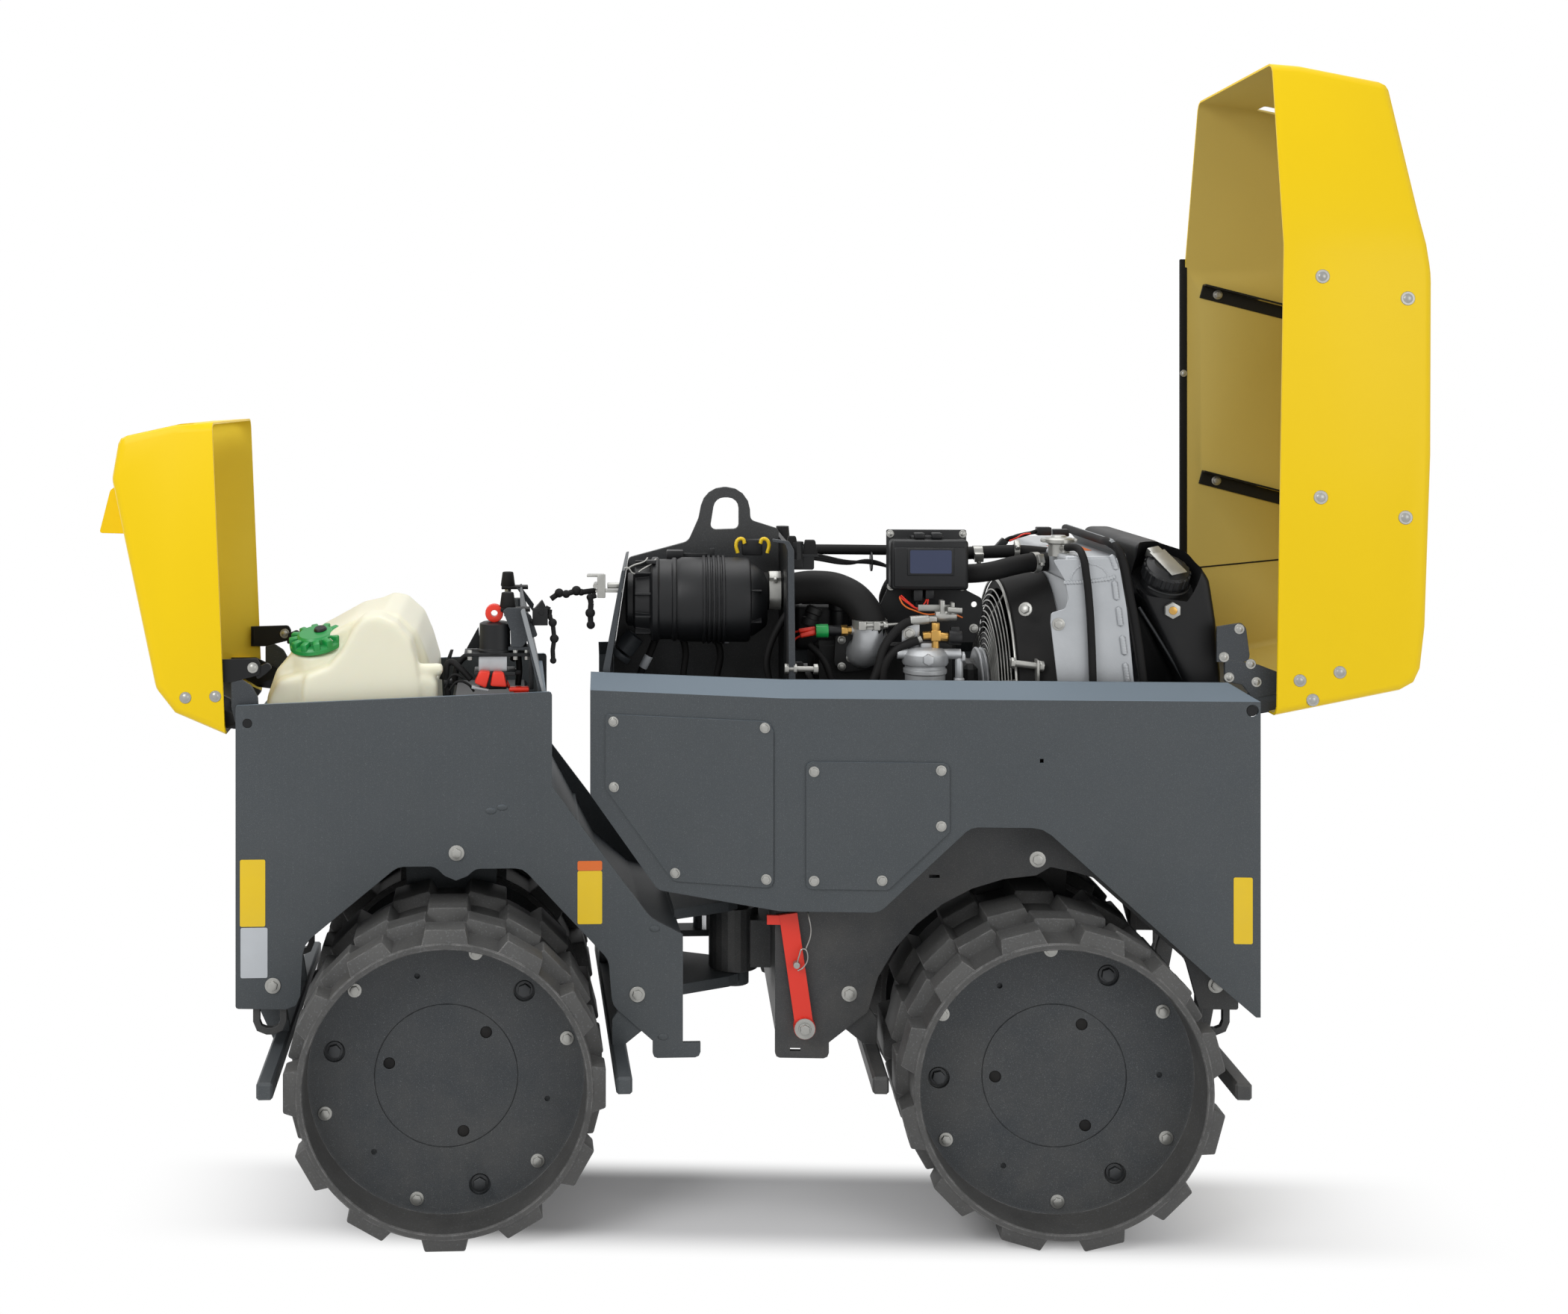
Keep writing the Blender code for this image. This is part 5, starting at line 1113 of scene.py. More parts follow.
# What stands round the elbow: fittings, sender, oil filler and the bolts of the middle plate
def makeEngineFittings():
    filler = [
        (0, 0.028), (0.017, 0.028), (0.0205, 0.024), (0.0205, 0.012), (0.018, 0.01), (0.018, -0.02),
        (0, -0.02),
    ]
    rearPiece("oilFiller", [turnedShape(filler, 32, "Z", (0.197, -0.086, 1.047))], "blackPlastic")
    cover = [
        boxShape((0.114, 0.24), (-0.076, 0.11), (0.98, 1.066), 0.01, 3),
        boxShape((0.128, 0.226), (-0.06, 0.096), (1.062, 1.074), 0.005, 2),
    ]
    rearPiece("valveCover", cover, "blackPaint")
    tilt = aim((0.143, -0.1, 1.045), (0.35, 0.1, 0.9))
    sender = [
        (0, 0.022), (0.013, 0.022), (0.016, 0.018), (0.016, 0.008), (0.0135, 0.006), (0.0135, -0.002),
        (0.016, -0.004), (0.016, -0.016), (0, -0.016),
    ]
    rearPiece("tiltedSender", [moved(turnedShape(sender, 28, "Z"), tilt)], "castIron")
    rearPiece("senderGreen", [
        rodShape((0.147, -0.15, 1.0265), (0.17, -0.15, 1.027), 0.0125, sides=28, edge=0.001),
    ], "greenBand")
    rearPiece("senderBody", [
        rodShape((0.17, -0.15, 1.027), (0.194, -0.15, 1.0275), 0.0095, sides=24, edge=0.001),
    ], "blackPlastic")
    rearPiece("senderHex", [
        rodShape((0.194, -0.15, 1.0275), (0.206, -0.15, 1.0278), 0.0105, sides=6, edge=0.001),
        rodShape((0.206, -0.15, 1.0278), (0.214, -0.15, 1.028), 0.007, sides=20),
    ], "brass")
    rearPiece("senderUnion", [
        rodShape((0.212, -0.15, 1.028), (0.228, -0.148, 1.028), 0.0085, sides=20, edge=0.001),
    ], "zincPlate")
    rearPiece("redSleeves", [
        rodShape((0.118, -0.156, 1.018), (0.146, -0.151, 1.024), 0.0042, 0.0052, 14, 0.0006),
        rodShape((0.116, -0.148, 1.026), (0.146, -0.146, 1.03), 0.004, 0.005, 14, 0.0006),
    ], "redPaint")
    tubes("redLeads", [
        [(0.118, -0.156, 1.018), (0.108, -0.15, 1.01), (0.1, -0.14, 0.985)],
        [(0.116, -0.148, 1.026), (0.106, -0.14, 1.02), (0.099, -0.13, 0.99)],
    ], 0.0018, "redPaint")
    dark = [
        [
            (0.097, -0.15, 1.064), (0.08, -0.152, 1.038), (0.06, -0.15, 0.991), (0.056, -0.15, 0.962),
            (0.062, -0.15, 0.93),
        ],
        [(-0.11, -0.07, 1.02), (-0.095, -0.072, 0.985), (-0.098, -0.07, 0.93)],
        [(-0.04, -0.07, 1.01), (-0.028, -0.074, 0.975), (-0.034, -0.07, 0.93)],
        [(0.135, -0.14, 1.0), (0.16, -0.15, 0.975), (0.178, -0.15, 0.93)],
    ]
    tubes("darkHoses", dark, 0.0065, "blackRubber")
    rearPiece("paleDuct", [
        rodShape((-0.212, -0.06, 0.975), (-0.19, -0.06, 1.004), 0.019, sides=28),
        rodShape((-0.222, -0.06, 0.962), (-0.215, -0.06, 0.971), 0.0215, sides=28, edge=0.001),
    ], "greyPlate")
    rearPiece("markedTube", [
        rodShape((-0.176, -0.06, 0.942), (-0.164, -0.06, 0.965), 0.0085, sides=20, edge=0.001),
        boxShape((-0.034, -0.01), (-0.062, -0.056), (0.99, 1.01), 0.001),
    ], "labelWhite")
    tubes("markedTubeHose", [
        [(-0.164, -0.06, 0.965), (-0.15, -0.06, 1.0)], [(-0.176, -0.06, 0.942), (-0.186, -0.06, 0.915)],
    ], 0.0072, "blackRubber")
    rearPiece("fuseHolder", [boxShape(
        (0.014, 0.052), (-0.078, -0.046), (1.16, 1.19), 0.002,
    )], "blackPlastic")
    bend = [(0.0, 1.165), (-0.003, 1.182), (0.002, 1.191), (0.01, 1.191), (0.013, 1.183)]
    straps = [
        [(x + step * along, -0.0835, z) for along, z in bend]
        for x, step in ((0.005, 1), (0.061, -1))
    ]
    tubes("fuseStraps", straps, 0.0035, "labelYellow")
    rearPiece("longBolt", [
        rodShape((0.085, -0.2285, 0.9676), (0.145, -0.2285, 0.9676), 0.0052, sides=20),
        rodShape((0.084, -0.2285, 0.9676), (0.0915, -0.2285, 0.9676), 0.0095, sides=6, edge=0.0008),
        rodShape((0.1, -0.2285, 0.9676), (0.106, -0.2285, 0.9676), 0.0095, sides=6, edge=0.0008),
        rodShape((0.136, -0.2285, 0.9676), (0.1445, -0.2285, 0.9676), 0.0095, sides=6, edge=0.0008),
    ], "zincPlate")
    edge = [
        (0.062, 1.199, 0), (0.084, 1.196, 0.006), (0.0895, 1.182, 0.004), (0.0915, 0.94, 0),
        (0.1035, 0.94, 0), (0.101, 1.184, 0.008), (0.092, 1.2, 0.008), (0.062, 1.204, 0),
    ]
    rearPiece("middlePlateEdge", [sheetShape(outlineOf(edge), -0.2325, -0.2245, 0.0006, 1)], "greyPlate")
    buffers = [
        [(0.089, 1.182), (0.111, 1.182), (0.107, 1.206), (0.093, 1.206)],
        [(0.119, 1.172), (0.147, 1.172), (0.142, 1.199), (0.124, 1.199)],
    ]
    rearPiece("midBuffers", [sheetShape(buffer, -0.2, -0.18, 0.002) for buffer in buffers], "blackRubber")
    holder = [(0.103, 1.145, 0.002), (0.14, 1.145, 0.004), (0.14, 1.186, 0.004), (0.103, 1.192, 0.002)]
    rearPiece("bufferHolder", [
        sheetShape(outlineOf(holder), -0.198, -0.194, 0.0006, 1),
        boxShape((0.1, 0.148), (-0.2, -0.18), (1.168, 1.174), 0.001),
    ], "blackPaint")


makeAirCleaner()
makeIntakeHose()
makeEngineFittings()

# Pipe and cables behind the control box, and the two latches with their rubber straps
tubes("crossPipe", [[
    (0.1, -0.022, 1.167), (0.2, -0.022, 1.167), (0.33, -0.022, 1.166),
]], 0.0098, "blackRubber", (), 4)
cableRoutes = [
    [
        (0.098, -0.034 + 0.004 * index, 1.163 - 0.004 * index), (0.156, -0.04, 1.158 - 0.004 * index),
        (0.215, -0.042, 1.146 - 0.002 * index), (0.262, -0.04, 1.143 + 0.002 * index),
        (0.32, -0.04, 1.13 - 0.004 * index),
    ]
    for index in range(3)
]
tubes("crossCables", cableRoutes, 0.0032, "blackRubber")
rearPiece("cableTies", [
    rodShape((0.262, -0.03, 1.145), (0.265, -0.03, 1.145), 0.019, sides=24),
    rodShape((0.136, -0.04, 1.161), (0.139, -0.04, 1.16), 0.011, sides=20),
], "blackPlastic")


def strapShape(route, radius, knobs):
    shapes = []
    for start, end in zip(route, route[1:]):
        shapes.append(rodShape(start, end, radius, sides=12))
    for index, size in knobs:
        ball = bmesh.new()
        bmesh.ops.create_uvsphere(ball, u_segments=16, v_segments=10, radius=size)
        shapes.append(moved(ball, Matrix.Translation(route[index])))
    return shapes


latch = {
    "rearStrap": [
        (-0.262, -0.16, 1.101), (-0.289, -0.165, 1.098), (-0.298, -0.167, 1.101), (-0.317, -0.169, 1.095),
        (-0.33, -0.17, 1.097), (-0.345, -0.17, 1.086),
    ],
    "rearHanging": [
        (-0.262, -0.18, 1.094), (-0.272, -0.185, 1.091), (-0.27, -0.185, 1.08), (-0.2715, -0.185, 1.062),
        (-0.2705, -0.185, 1.04),
    ],
}
straps = strapShape(latch["rearStrap"], 0.0052, [(1, 0.0066), (2, 0.0092), (3, 0.0076), (4, 0.0086)])
straps += strapShape(latch["rearHanging"], 0.0052, [(1, 0.0066), (3, 0.0092), (4, 0.008)])
rearPiece("rearStraps", straps, "blackRubber")
rearPiece("rearLatch", [
    boxShape((-0.262, -0.212), (-0.186, -0.15), (1.1, 1.104), 0.001),
    boxShape((-0.278, -0.246), (-0.182, -0.156), (1.128, 1.132), 0.001),
    rodShape((-0.25, -0.17, 1.1), (-0.25, -0.17, 1.13), 0.006, sides=16),
    rodShape((-0.262, -0.188, 1.112), (-0.262, -0.148, 1.112), 0.0045, sides=16),
    boxShape((-0.2585, -0.2435), (-0.1885, -0.1815), (1.09, 1.134), 0.0015),
    rodShape((-0.24, -0.176, 1.112), (-0.2155, -0.176, 1.112), 0.0055, sides=6, edge=0.0006),
], "zincPlate")
print("stage: rear bay, left half, dressed")


# Control box with its blank plate, bracket and leads
def makeControlBox():
    case = [
        boxShape((0.285, 0.428), (-0.16, -0.108), (1.104, 1.197), 0.007, 3),
        boxShape((0.29, 0.423), (-0.1655, -0.158), (1.11, 1.184), 0.0035, 2),
        boxShape((0.282, 0.431), (-0.116, -0.108), (1.1, 1.213), 0.003),
        boxShape((0.325, 0.385), (-0.14, -0.112), (1.194, 1.203), 0.002),
        boxShape((0.33, 0.35), (-0.146, -0.125), (1.197, 1.209), 0.003),
        boxShape((0.362, 0.382), (-0.146, -0.125), (1.197, 1.209), 0.003),
        boxShape((0.314, 0.4), (-0.1675, -0.164), (1.132, 1.182), 0.003),
    ]
    legs = [
        (0.262, 1.001, 0), (0.262, 1.05, 0.02), (0.285, 1.1, 0.01), (0.285, 1.21, 0.004),
        (0.428, 1.21, 0.004), (0.43, 1.1, 0.01),
    ]
    legs += [(0.461, 1.084, 0.008), (0.464, 1.06, 0.01), (0.447, 1.0, 0.004)]
    rearPiece("controlCase", case, "blackPlastic", ("control_box",))
    bracket = rearPiece("controlBracket", [
        sheetShape(outlineOf(legs), -0.1055, -0.1005, 0.0006, 1),
        boxShape((0.3, 0.41), (-0.104, -0.06), (1.001, 1.012), 0.001),
    ], "blackPaint")
    carve(bracket, moved(rodShape((0.447, -0.15, 1.072), (0.447, -0.05, 1.072), 0.0055), rearPlace))
    plate = [(0.319, 1.136, 0.003), (0.395, 1.136, 0.003), (0.395, 1.179, 0.003), (0.319, 1.179, 0.003)]
    rearPiece("controlPlate", [sheetShape(outlineOf(plate), -0.1681, -0.1674)], "labelBlue")
    spots = [(0.289, -0.116, 1.205), (0.424, -0.116, 1.205), (0.29, -0.116, 1.106), (0.423, -0.116, 1.106)]
    domeBolts("controlScrews", spots, (0, -1, 0), "rear_unit", 0.006)
    bolts("bracketBolt", [(0.446, -0.1055, 1.027)], (0, -1, 0), "rear_unit", 0.006, 0.006)
    rearPiece("boxPlugs", [
        boxShape((0.328, 0.345), (-0.15, -0.118), (1.082, 1.104), 0.002),
        boxShape((0.35, 0.366), (-0.15, -0.118), (1.086, 1.104), 0.002),
        rodShape((0.337, -0.134, 1.07), (0.337, -0.134, 1.083), 0.006, sides=16),
    ], "blackPlastic")
    orange = [[
        (0.301, -0.155, 1.09), (0.308, -0.16, 1.077), (0.33, -0.163, 1.066), (0.352, -0.164, 1.06),
        (0.376, -0.165, 1.062), (0.398, -0.164, 1.061), (0.416, -0.16, 1.054),
    ]]
    red = [
        [
            (0.301, -0.153, 1.092), (0.316, -0.158, 1.08), (0.334, -0.16, 1.071), (0.346, -0.156, 1.078),
            (0.352, -0.15, 1.086),
        ],
        [
            (0.304, -0.153, 1.094), (0.322, -0.158, 1.078), (0.34, -0.16, 1.067), (0.35, -0.156, 1.072),
            (0.355, -0.15, 1.086),
        ],
    ]
    tubes("orangeLead", orange, 0.0015, "labelOrange")
    tubes("redBoxLeads", red, 0.0014, "redPaint")


# Fuel filter with its head, brass fitting, valve and hoses
def makeFuelFilter():
    x, y = 0.343, -0.19
    bowl = [
        (0, 0.9), (0.03, 0.9), (0.036, 0.906), (0.0365, 0.955), (0.0395, 0.957), (0.0395, 0.964),
        (0.0365, 0.966), (0.0365, 0.974), (0, 0.974),
    ]
    rearPiece("filterBowl", [turnedShape(bowl, 40, "Z", (x, y, 0))], "castAlloy", ("fuel_filter",))
    dome = [
        (0, 0.972), (0.04, 0.972), (0.042, 0.976), (0.042, 0.992), (0.034, 1.0), (0.022, 1.004), (0, 1.004),
    ]
    head = [turnedShape(dome, 40, "Z", (x, y, 0))]
    head += [
        rodShape((x - 0.052, y - 0.006, 0.992), (x - 0.02, y - 0.006, 0.992), 0.0095, sides=24, edge=0.001),
        rodShape((x + 0.02, y - 0.006, 0.992), (x + 0.064, y - 0.006, 0.992), 0.0095, sides=24, edge=0.001),
    ]
    head += [
        rodShape((x, y - 0.048, 0.986), (x, y - 0.03, 0.986), 0.0105, sides=6, edge=0.001),
        boxShape((x - 0.018, x + 0.018), (y + 0.03, -0.0953), (0.976, 0.992), 0.002),
    ]
    head += [
        boxShape((0.301, 0.334), (-0.188, -0.182), (1.0, 1.05), 0.002),
        boxShape((0.334, 0.366), (-0.196, -0.176), (1.0, 1.012), 0.003),
        rodShape((0.404, -0.195, 0.93), (0.404, -0.195, 0.985), 0.0075, sides=20, edge=0.001),
    ]
    head += [
        rodShape((0.408, -0.197, 0.986), (0.414, -0.197, 0.986), 0.0105, sides=6, edge=0.001),
        rodShape((0.404, -0.195, 0.938), (0.404, -0.195, 0.948), 0.0105, sides=6, edge=0.001),
    ]
    rearPiece("filterHead", head, "castAlloy")
    bolts("filterBolts", [(0.314, -0.188, 1.028)], (0, -1, 0), "rear_unit", 0.0078, 0.007)
    brass = [
        boxShape((0.352, 0.37), (-0.206, -0.188), (1.016, 1.036), 0.002),
        rodShape((0.361, -0.197, 1.034), (0.361, -0.197, 1.049), 0.0085, sides=6, edge=0.001),
    ]
    brass += [
        rodShape((0.338, -0.197, 1.025), (0.354, -0.197, 1.026), 0.0078, sides=6, edge=0.001),
        rodShape((0.368, -0.197, 1.024), (0.384, -0.197, 1.023), 0.0082, sides=20, edge=0.001),
    ]
    brass += [rodShape((0.361, -0.197, 1.003), (0.361, -0.197, 1.018), 0.007, sides=20)]
    rearPiece("filterBrass", brass, "brass")
    rearPiece("filterPlug", [
        rodShape((0.384, -0.197, 1.023), (0.408, -0.197, 1.021), 0.0135, sides=28, edge=0.0015),
        boxShape((0.388, 0.404), (-0.204, -0.19), (1.03, 1.042), 0.002),
    ], "blackPlastic")
    rail = [
        rodShape((0.316, -0.19, 1.052), (0.35, -0.19, 1.054), 0.0085, sides=24, edge=0.001),
        rodShape((0.35, -0.19, 1.054), (0.364, -0.19, 1.0545), 0.0068, sides=6, edge=0.0006),
    ]
    rail += [
        rodShape((0.364, -0.175, 1.058), (0.402, -0.175, 1.06), 0.01, sides=24, edge=0.001),
        boxShape((0.372, 0.38), (-0.184, -0.165), (1.056, 1.088), 0.001),
        boxShape((0.392, 0.398), (-0.184, -0.165), (1.06, 1.084), 0.001),
    ]
    rail += [
        boxShape((0.334, 0.398), (-0.166, -0.16), (1.066, 1.078), 0.001),
        rodShape((0.384, -0.19, 1.072), (0.41, -0.19, 1.07), 0.0055, sides=16),
        rodShape((0.322, -0.196, 1.014), (0.336, -0.196, 1.02), 0.0062, sides=20, edge=0.0008),
    ]
    rearPiece("fuelRail", rail, "zincPlate")
    hoses = [
        [
            (0.322, -0.19, 1.052), (0.306, -0.19, 1.046), (0.284, -0.192, 1.026), (0.266, -0.196, 1.0),
            (0.256, -0.2, 0.966), (0.24, -0.204, 0.925),
        ],
        [
            (0.33, -0.196, 1.016), (0.306, -0.197, 1.008), (0.284, -0.198, 0.994), (0.27, -0.199, 0.974),
            (0.262, -0.2, 0.93),
        ],
    ]
    tubes("fuelHoses", hoses, 0.0078, "blackRubber", (), 4)


makeControlBox()
makeFuelFilter()
print("stage: control box and fuel filter built")


# Cooling: radiator with its weld beads, cap and overflow hose, coolant hoses, shroud and wire guard
radiator = {"face": -0.228, "axis": 0.9003, "top": 1.175}


def makeRadiator():
    face, top = radiator["face"], radiator["top"]
    core = boxShape((0.592, 0.676), (face, 0.228), (0.6403, top - 0.04), 0.003)
    header = boxShape((0.588, 0.684), (face, 0.228), (top - 0.046, top), 0.006, 3)
    flap = [
        (0.566, 1.168, 0.003), (0.588, 1.13, 0.002), (0.594, 1.098, 0.006), (0.588, 1.08, 0.006),
        (0.563, 1.072, 0.006), (0.562, 1.055, 0), (0.576, 0.935, 0), (0.712, 0.935, 0), (0.69, 1.172, 0),
    ]
    rearPiece("radiatorBody", [
        core, header, sheetShape(outlineOf(flap), face - 0.0035, face - 0.0005, 0.0006, 1),
    ], "radiatorAlloy", ("radiator",))
    seams = beads([
        (0.588, face - 0.004, 1.127), (0.621, face - 0.004, 1.128), (0.665, face - 0.004, 1.134),
        (0.68, face - 0.004, 1.139),
    ], 0.0042, 0.0055)
    arch = [
        (0.632 + 0.034 * cos(turn), face - 0.003, 1.131 + 0.03 * sin(turn))
        for turn in [pi * step / 8 for step in range(9)]
    ]
    seams += beads(arch, 0.003, 0.0045)
    for x, z in ((0.678, 1.112), (0.685, 1.065), (0.692, 1.013), (0.697, 0.964)):
        seams += beads([
            (x - 0.002, face - 0.005, z + 0.014), (x + 0.002, face - 0.005, z - 0.016),
        ], 0.0062, 0.0055)
    seams += beads([(0.672, face - 0.003, 1.172), (0.68, face - 0.003, 1.15)], 0.007, 0.006)
    rearPiece("radiatorSeams", seams, "radiatorAlloy")
    bolts("radiatorBolt", [(0.576, face - 0.0035, 1.052)], (0, -1, 0), "rear_unit", 0.008, 0.005)
    neck = turnedShape([
        (0, -0.012), (0.019, -0.012), (0.019, 0.01), (0.0225, 0.012), (0.0225, 0.015), (0, 0.015),
    ], 32, "Z")
    cap = turnedShape([
        (0, 0.026), (0.012, 0.026), (0.015, 0.023), (0.024, 0.022), (0.0275, 0.019), (0.0275, 0.013),
        (0, 0.013),
    ], 40, "Z")
    ears = boxShape((-0.033, 0.033), (-0.008, 0.008), (0.013, 0.021), 0.003)
    stub = rodShape((0, -0.01, 0.003), (0.004, -0.045, 0.006), 0.0045, sides=16)
    rearPiece("radiatorCap", [
        moved(shape, Matrix.Translation((0.5945, -0.15, top + 0.005)))
        for shape in (neck, cap, ears, stub)
    ], "zincPlate")
    overflow = [
        (0.599, -0.192, 1.187), (0.613, -0.212, 1.188), (0.619, -0.232, 1.176), (0.624, -0.24, 1.14),
        (0.629, -0.241, 1.09), (0.633, -0.241, 1.02), (0.636, -0.241, 0.93),
    ]
    tubes("overflowHose", [overflow], 0.0068, "blackRubber", (), 4)
    rearPiece("radiatorMark", [boxShape(
        (0.602, 0.662), (-0.118, -0.01), (top + 0.0001, top + 0.0007),
    )], "labelOrange")
    lip = [
        (0.6735, 0.15, 1.197), (0.6735, 0.0, 1.197), (0.6735, -0.15, 1.197), (0.6745, -0.205, 1.1965),
        (0.684, -0.226, 1.186), (0.692, -0.23, 1.165), (0.702, -0.23, 1.115), (0.716, -0.23, 1.04),
        (0.729, -0.23, 0.94),
    ]
    tubes("sealLip", [lip], 0.0075, "blackRubber", (), 4)
    web = [
        (0.6745, 1.194, 0), (0.684, 1.184, 0.008), (0.692, 1.165, 0), (0.729, 0.94, 0), (0.722, 0.94, 0),
        (0.686, 1.15, 0),
    ]
    rearPiece("sealCarrier", [
        sheetShape(outlineOf(web), -0.232, -0.2285, 0.0004, 1),
        boxShape((0.69, 0.694), (-0.23, -0.21), (1.14, 1.176), 0.001),
    ], "blackRubber")


def makeCoolantHoses():
    fat = [
        (0.3, 0.0, 1.0588), (0.3, -0.002, 1.076), (0.318, -0.02, 1.108), (0.38, -0.07, 1.126),
        (0.431, -0.1, 1.129), (0.474, -0.108, 1.134), (0.52, -0.106, 1.145), (0.556, -0.092, 1.15),
        (0.59, -0.082, 1.151),
    ]
    tubes("coolantHoseLower", [fat], 0.0178, "blackRubber", ("coolant_hose",), 5)
    thin = [
        (0.33, -0.05, 1.16), (0.43, -0.052, 1.163), (0.48, -0.056, 1.166), (0.54, -0.06, 1.168),
        (0.592, -0.06, 1.164),
    ]
    tubes("coolantHoseUpper", [thin], 0.0122, "blackRubber", (), 4)
    clamps = [
        band((0.563, -0.09, 1.15), (1, 0.35, 0.02), 0.0182, 0.012, 0.0014, 1.2),
        band((0.462, -0.055, 1.165), (1, 0, 0.02), 0.0126, 0.017, 0.0008, 2.0),
        band((0.534, -0.06, 1.168), (1, 0, 0), 0.0126, 0.01, 0.0014, 0.6),
    ]
    rearPiece("coolantClamps", clamps, "zincPlate")
    leads = [
        [
            (0.506, -0.01, 1.168), (0.522, -0.006, 1.18), (0.54, 0.0, 1.19), (0.56, 0.0, 1.196),
            (0.585, 0.0, 1.2),
        ],
        [(0.508, -0.014, 1.17), (0.528, -0.012, 1.188), (0.552, -0.008, 1.193), (0.59, 0.0, 1.204)],
    ]
    tubes("harnessBlack", leads, 0.0034, "blackRubber")
    tubes("harnessRed", [[
        (0.53, -0.014, 1.184), (0.545, -0.012, 1.19), (0.556, -0.01, 1.196), (0.572, -0.006, 1.198),
    ]], 0.0018, "redPaint")
    tilted = Matrix.Translation((0.512, -0.012, 1.174)) @ Matrix.Rotation(radians(-48), 4, "Y")
    plugs = [moved(boxShape((-0.016, 0.016), (-0.008, 0.008), (-0.007, 0.007), 0.002), tilted)]
    plugs += [
        boxShape((0.584, 0.612), (-0.01, 0.01), (1.194, 1.21), 0.002),
        boxShape((0.616, 0.646), (-0.008, 0.012), (1.192, 1.206), 0.002),
    ]
    rearPiece("harnessPlugs", plugs, "blackPlastic")


def wireRing(radius, wire, at, sides, steps):
    ring = bmesh.new()
    start = Matrix.Translation((radius, 0, 0)) @ Matrix.Rotation(pi / 2, 4, "X")
    bmesh.ops.create_circle(ring, segments=sides, radius=wire, matrix=start)
    whole = ring.verts[:] + ring.edges[:]
    bmesh.ops.spin(
        ring, geom=whole, axis=(0, 0, 1), cent=(0, 0, 0), steps=steps, angle=2 * pi, use_merge=True,
    )
    bmesh.ops.recalc_face_normals(ring, faces=ring.faces)
    return moved(ring, Matrix.Translation(at) @ Matrix.Rotation(pi / 2, 4, "Y"))


def makeFanGuard():
    axis = radiator["axis"]
    shell = turnedShape([
        (0.19, 0.513), (0.205, 0.509), (0.211, 0.513), (0.229, 0.5895), (0.222, 0.5895), (0.203, 0.521),
        (0.19, 0.521),
    ], 64, "X", (0, 0, axis))
    rearPiece("shroudShell", [shell], "blackRubber", ("fan_shroud",))
    wires = []
    for index in range(13):
        radius = 0.062 + index * 0.0105
        x = 0.4865 + max(0.0, radius - 0.145) * 0.35
        wires.append(wireRing(radius, 0.0014, (x, 0, axis), 6, 72))
    for index in range(6):
        spin = Matrix.Translation((0, 0, axis)) @ Matrix.Rotation(index * pi / 3 + 0.3, 4, "X")
        wires.append(moved(rodShape((0.489, 0, 0.06), (0.489, 0, 0.15), 0.002, sides=8), spin))
        wires.append(moved(rodShape((0.489, 0, 0.15), (0.512, 0, 0.196), 0.002, sides=8), spin))
    rearPiece("guardWires", wires, "zincPlate", ("fan_guard",))
    rearPiece("guardRim", [wireRing(0.2085, 0.0026, (0.5065, 0, axis), 8, 96)], "zincPlate")
    pulley = turnedShape([
        (0, 0.464), (0.06, 0.464), (0.064, 0.466), (0.074, 0.467), (0.076, 0.469), (0.076, 0.472),
        (0.071, 0.475), (0.076, 0.478), (0.076, 0.4815), (0.074, 0.483), (0, 0.483),
    ], 48, "X", (0, 0, axis))
    rearPiece("fanPulley", [pulley], "castAlloy")
    stud = [
        rodShape((0.497, -0.215, 0.979), (0.548, -0.215, 0.973), 0.0062, sides=20),
        rodShape((0.494, -0.215, 0.9794), (0.501, -0.215, 0.9786), 0.01, sides=6, edge=0.0008),
    ]
    stud += [
        rodShape((0.545, -0.215, 0.9734), (0.553, -0.215, 0.9724), 0.01, sides=6, edge=0.0008),
        boxShape((0.5385, 0.5435), (-0.228, -0.204), (0.93, 0.986), 0.0015),
    ]
    rearPiece("guardStud", stud, "zincPlate")
    bolts("shroudBolt", [(0.528, -0.1785, 1.072)], (-0.5, -0.8, 0.3), "rear_unit", 0.009, 0.008)


makeRadiator()
makeCoolantHoses()
makeFanGuard()
print("stage: cooling built")


# Boxes set round the z axis, as grips of a cap
def ringOf(count, x, y, z, edge, segments):
    turns = [Matrix.Rotation(index * 2 * pi / count, 4, "Z") for index in range(count)]
    return [moved(boxShape(x, y, z, edge, segments), turn) for turn in turns]


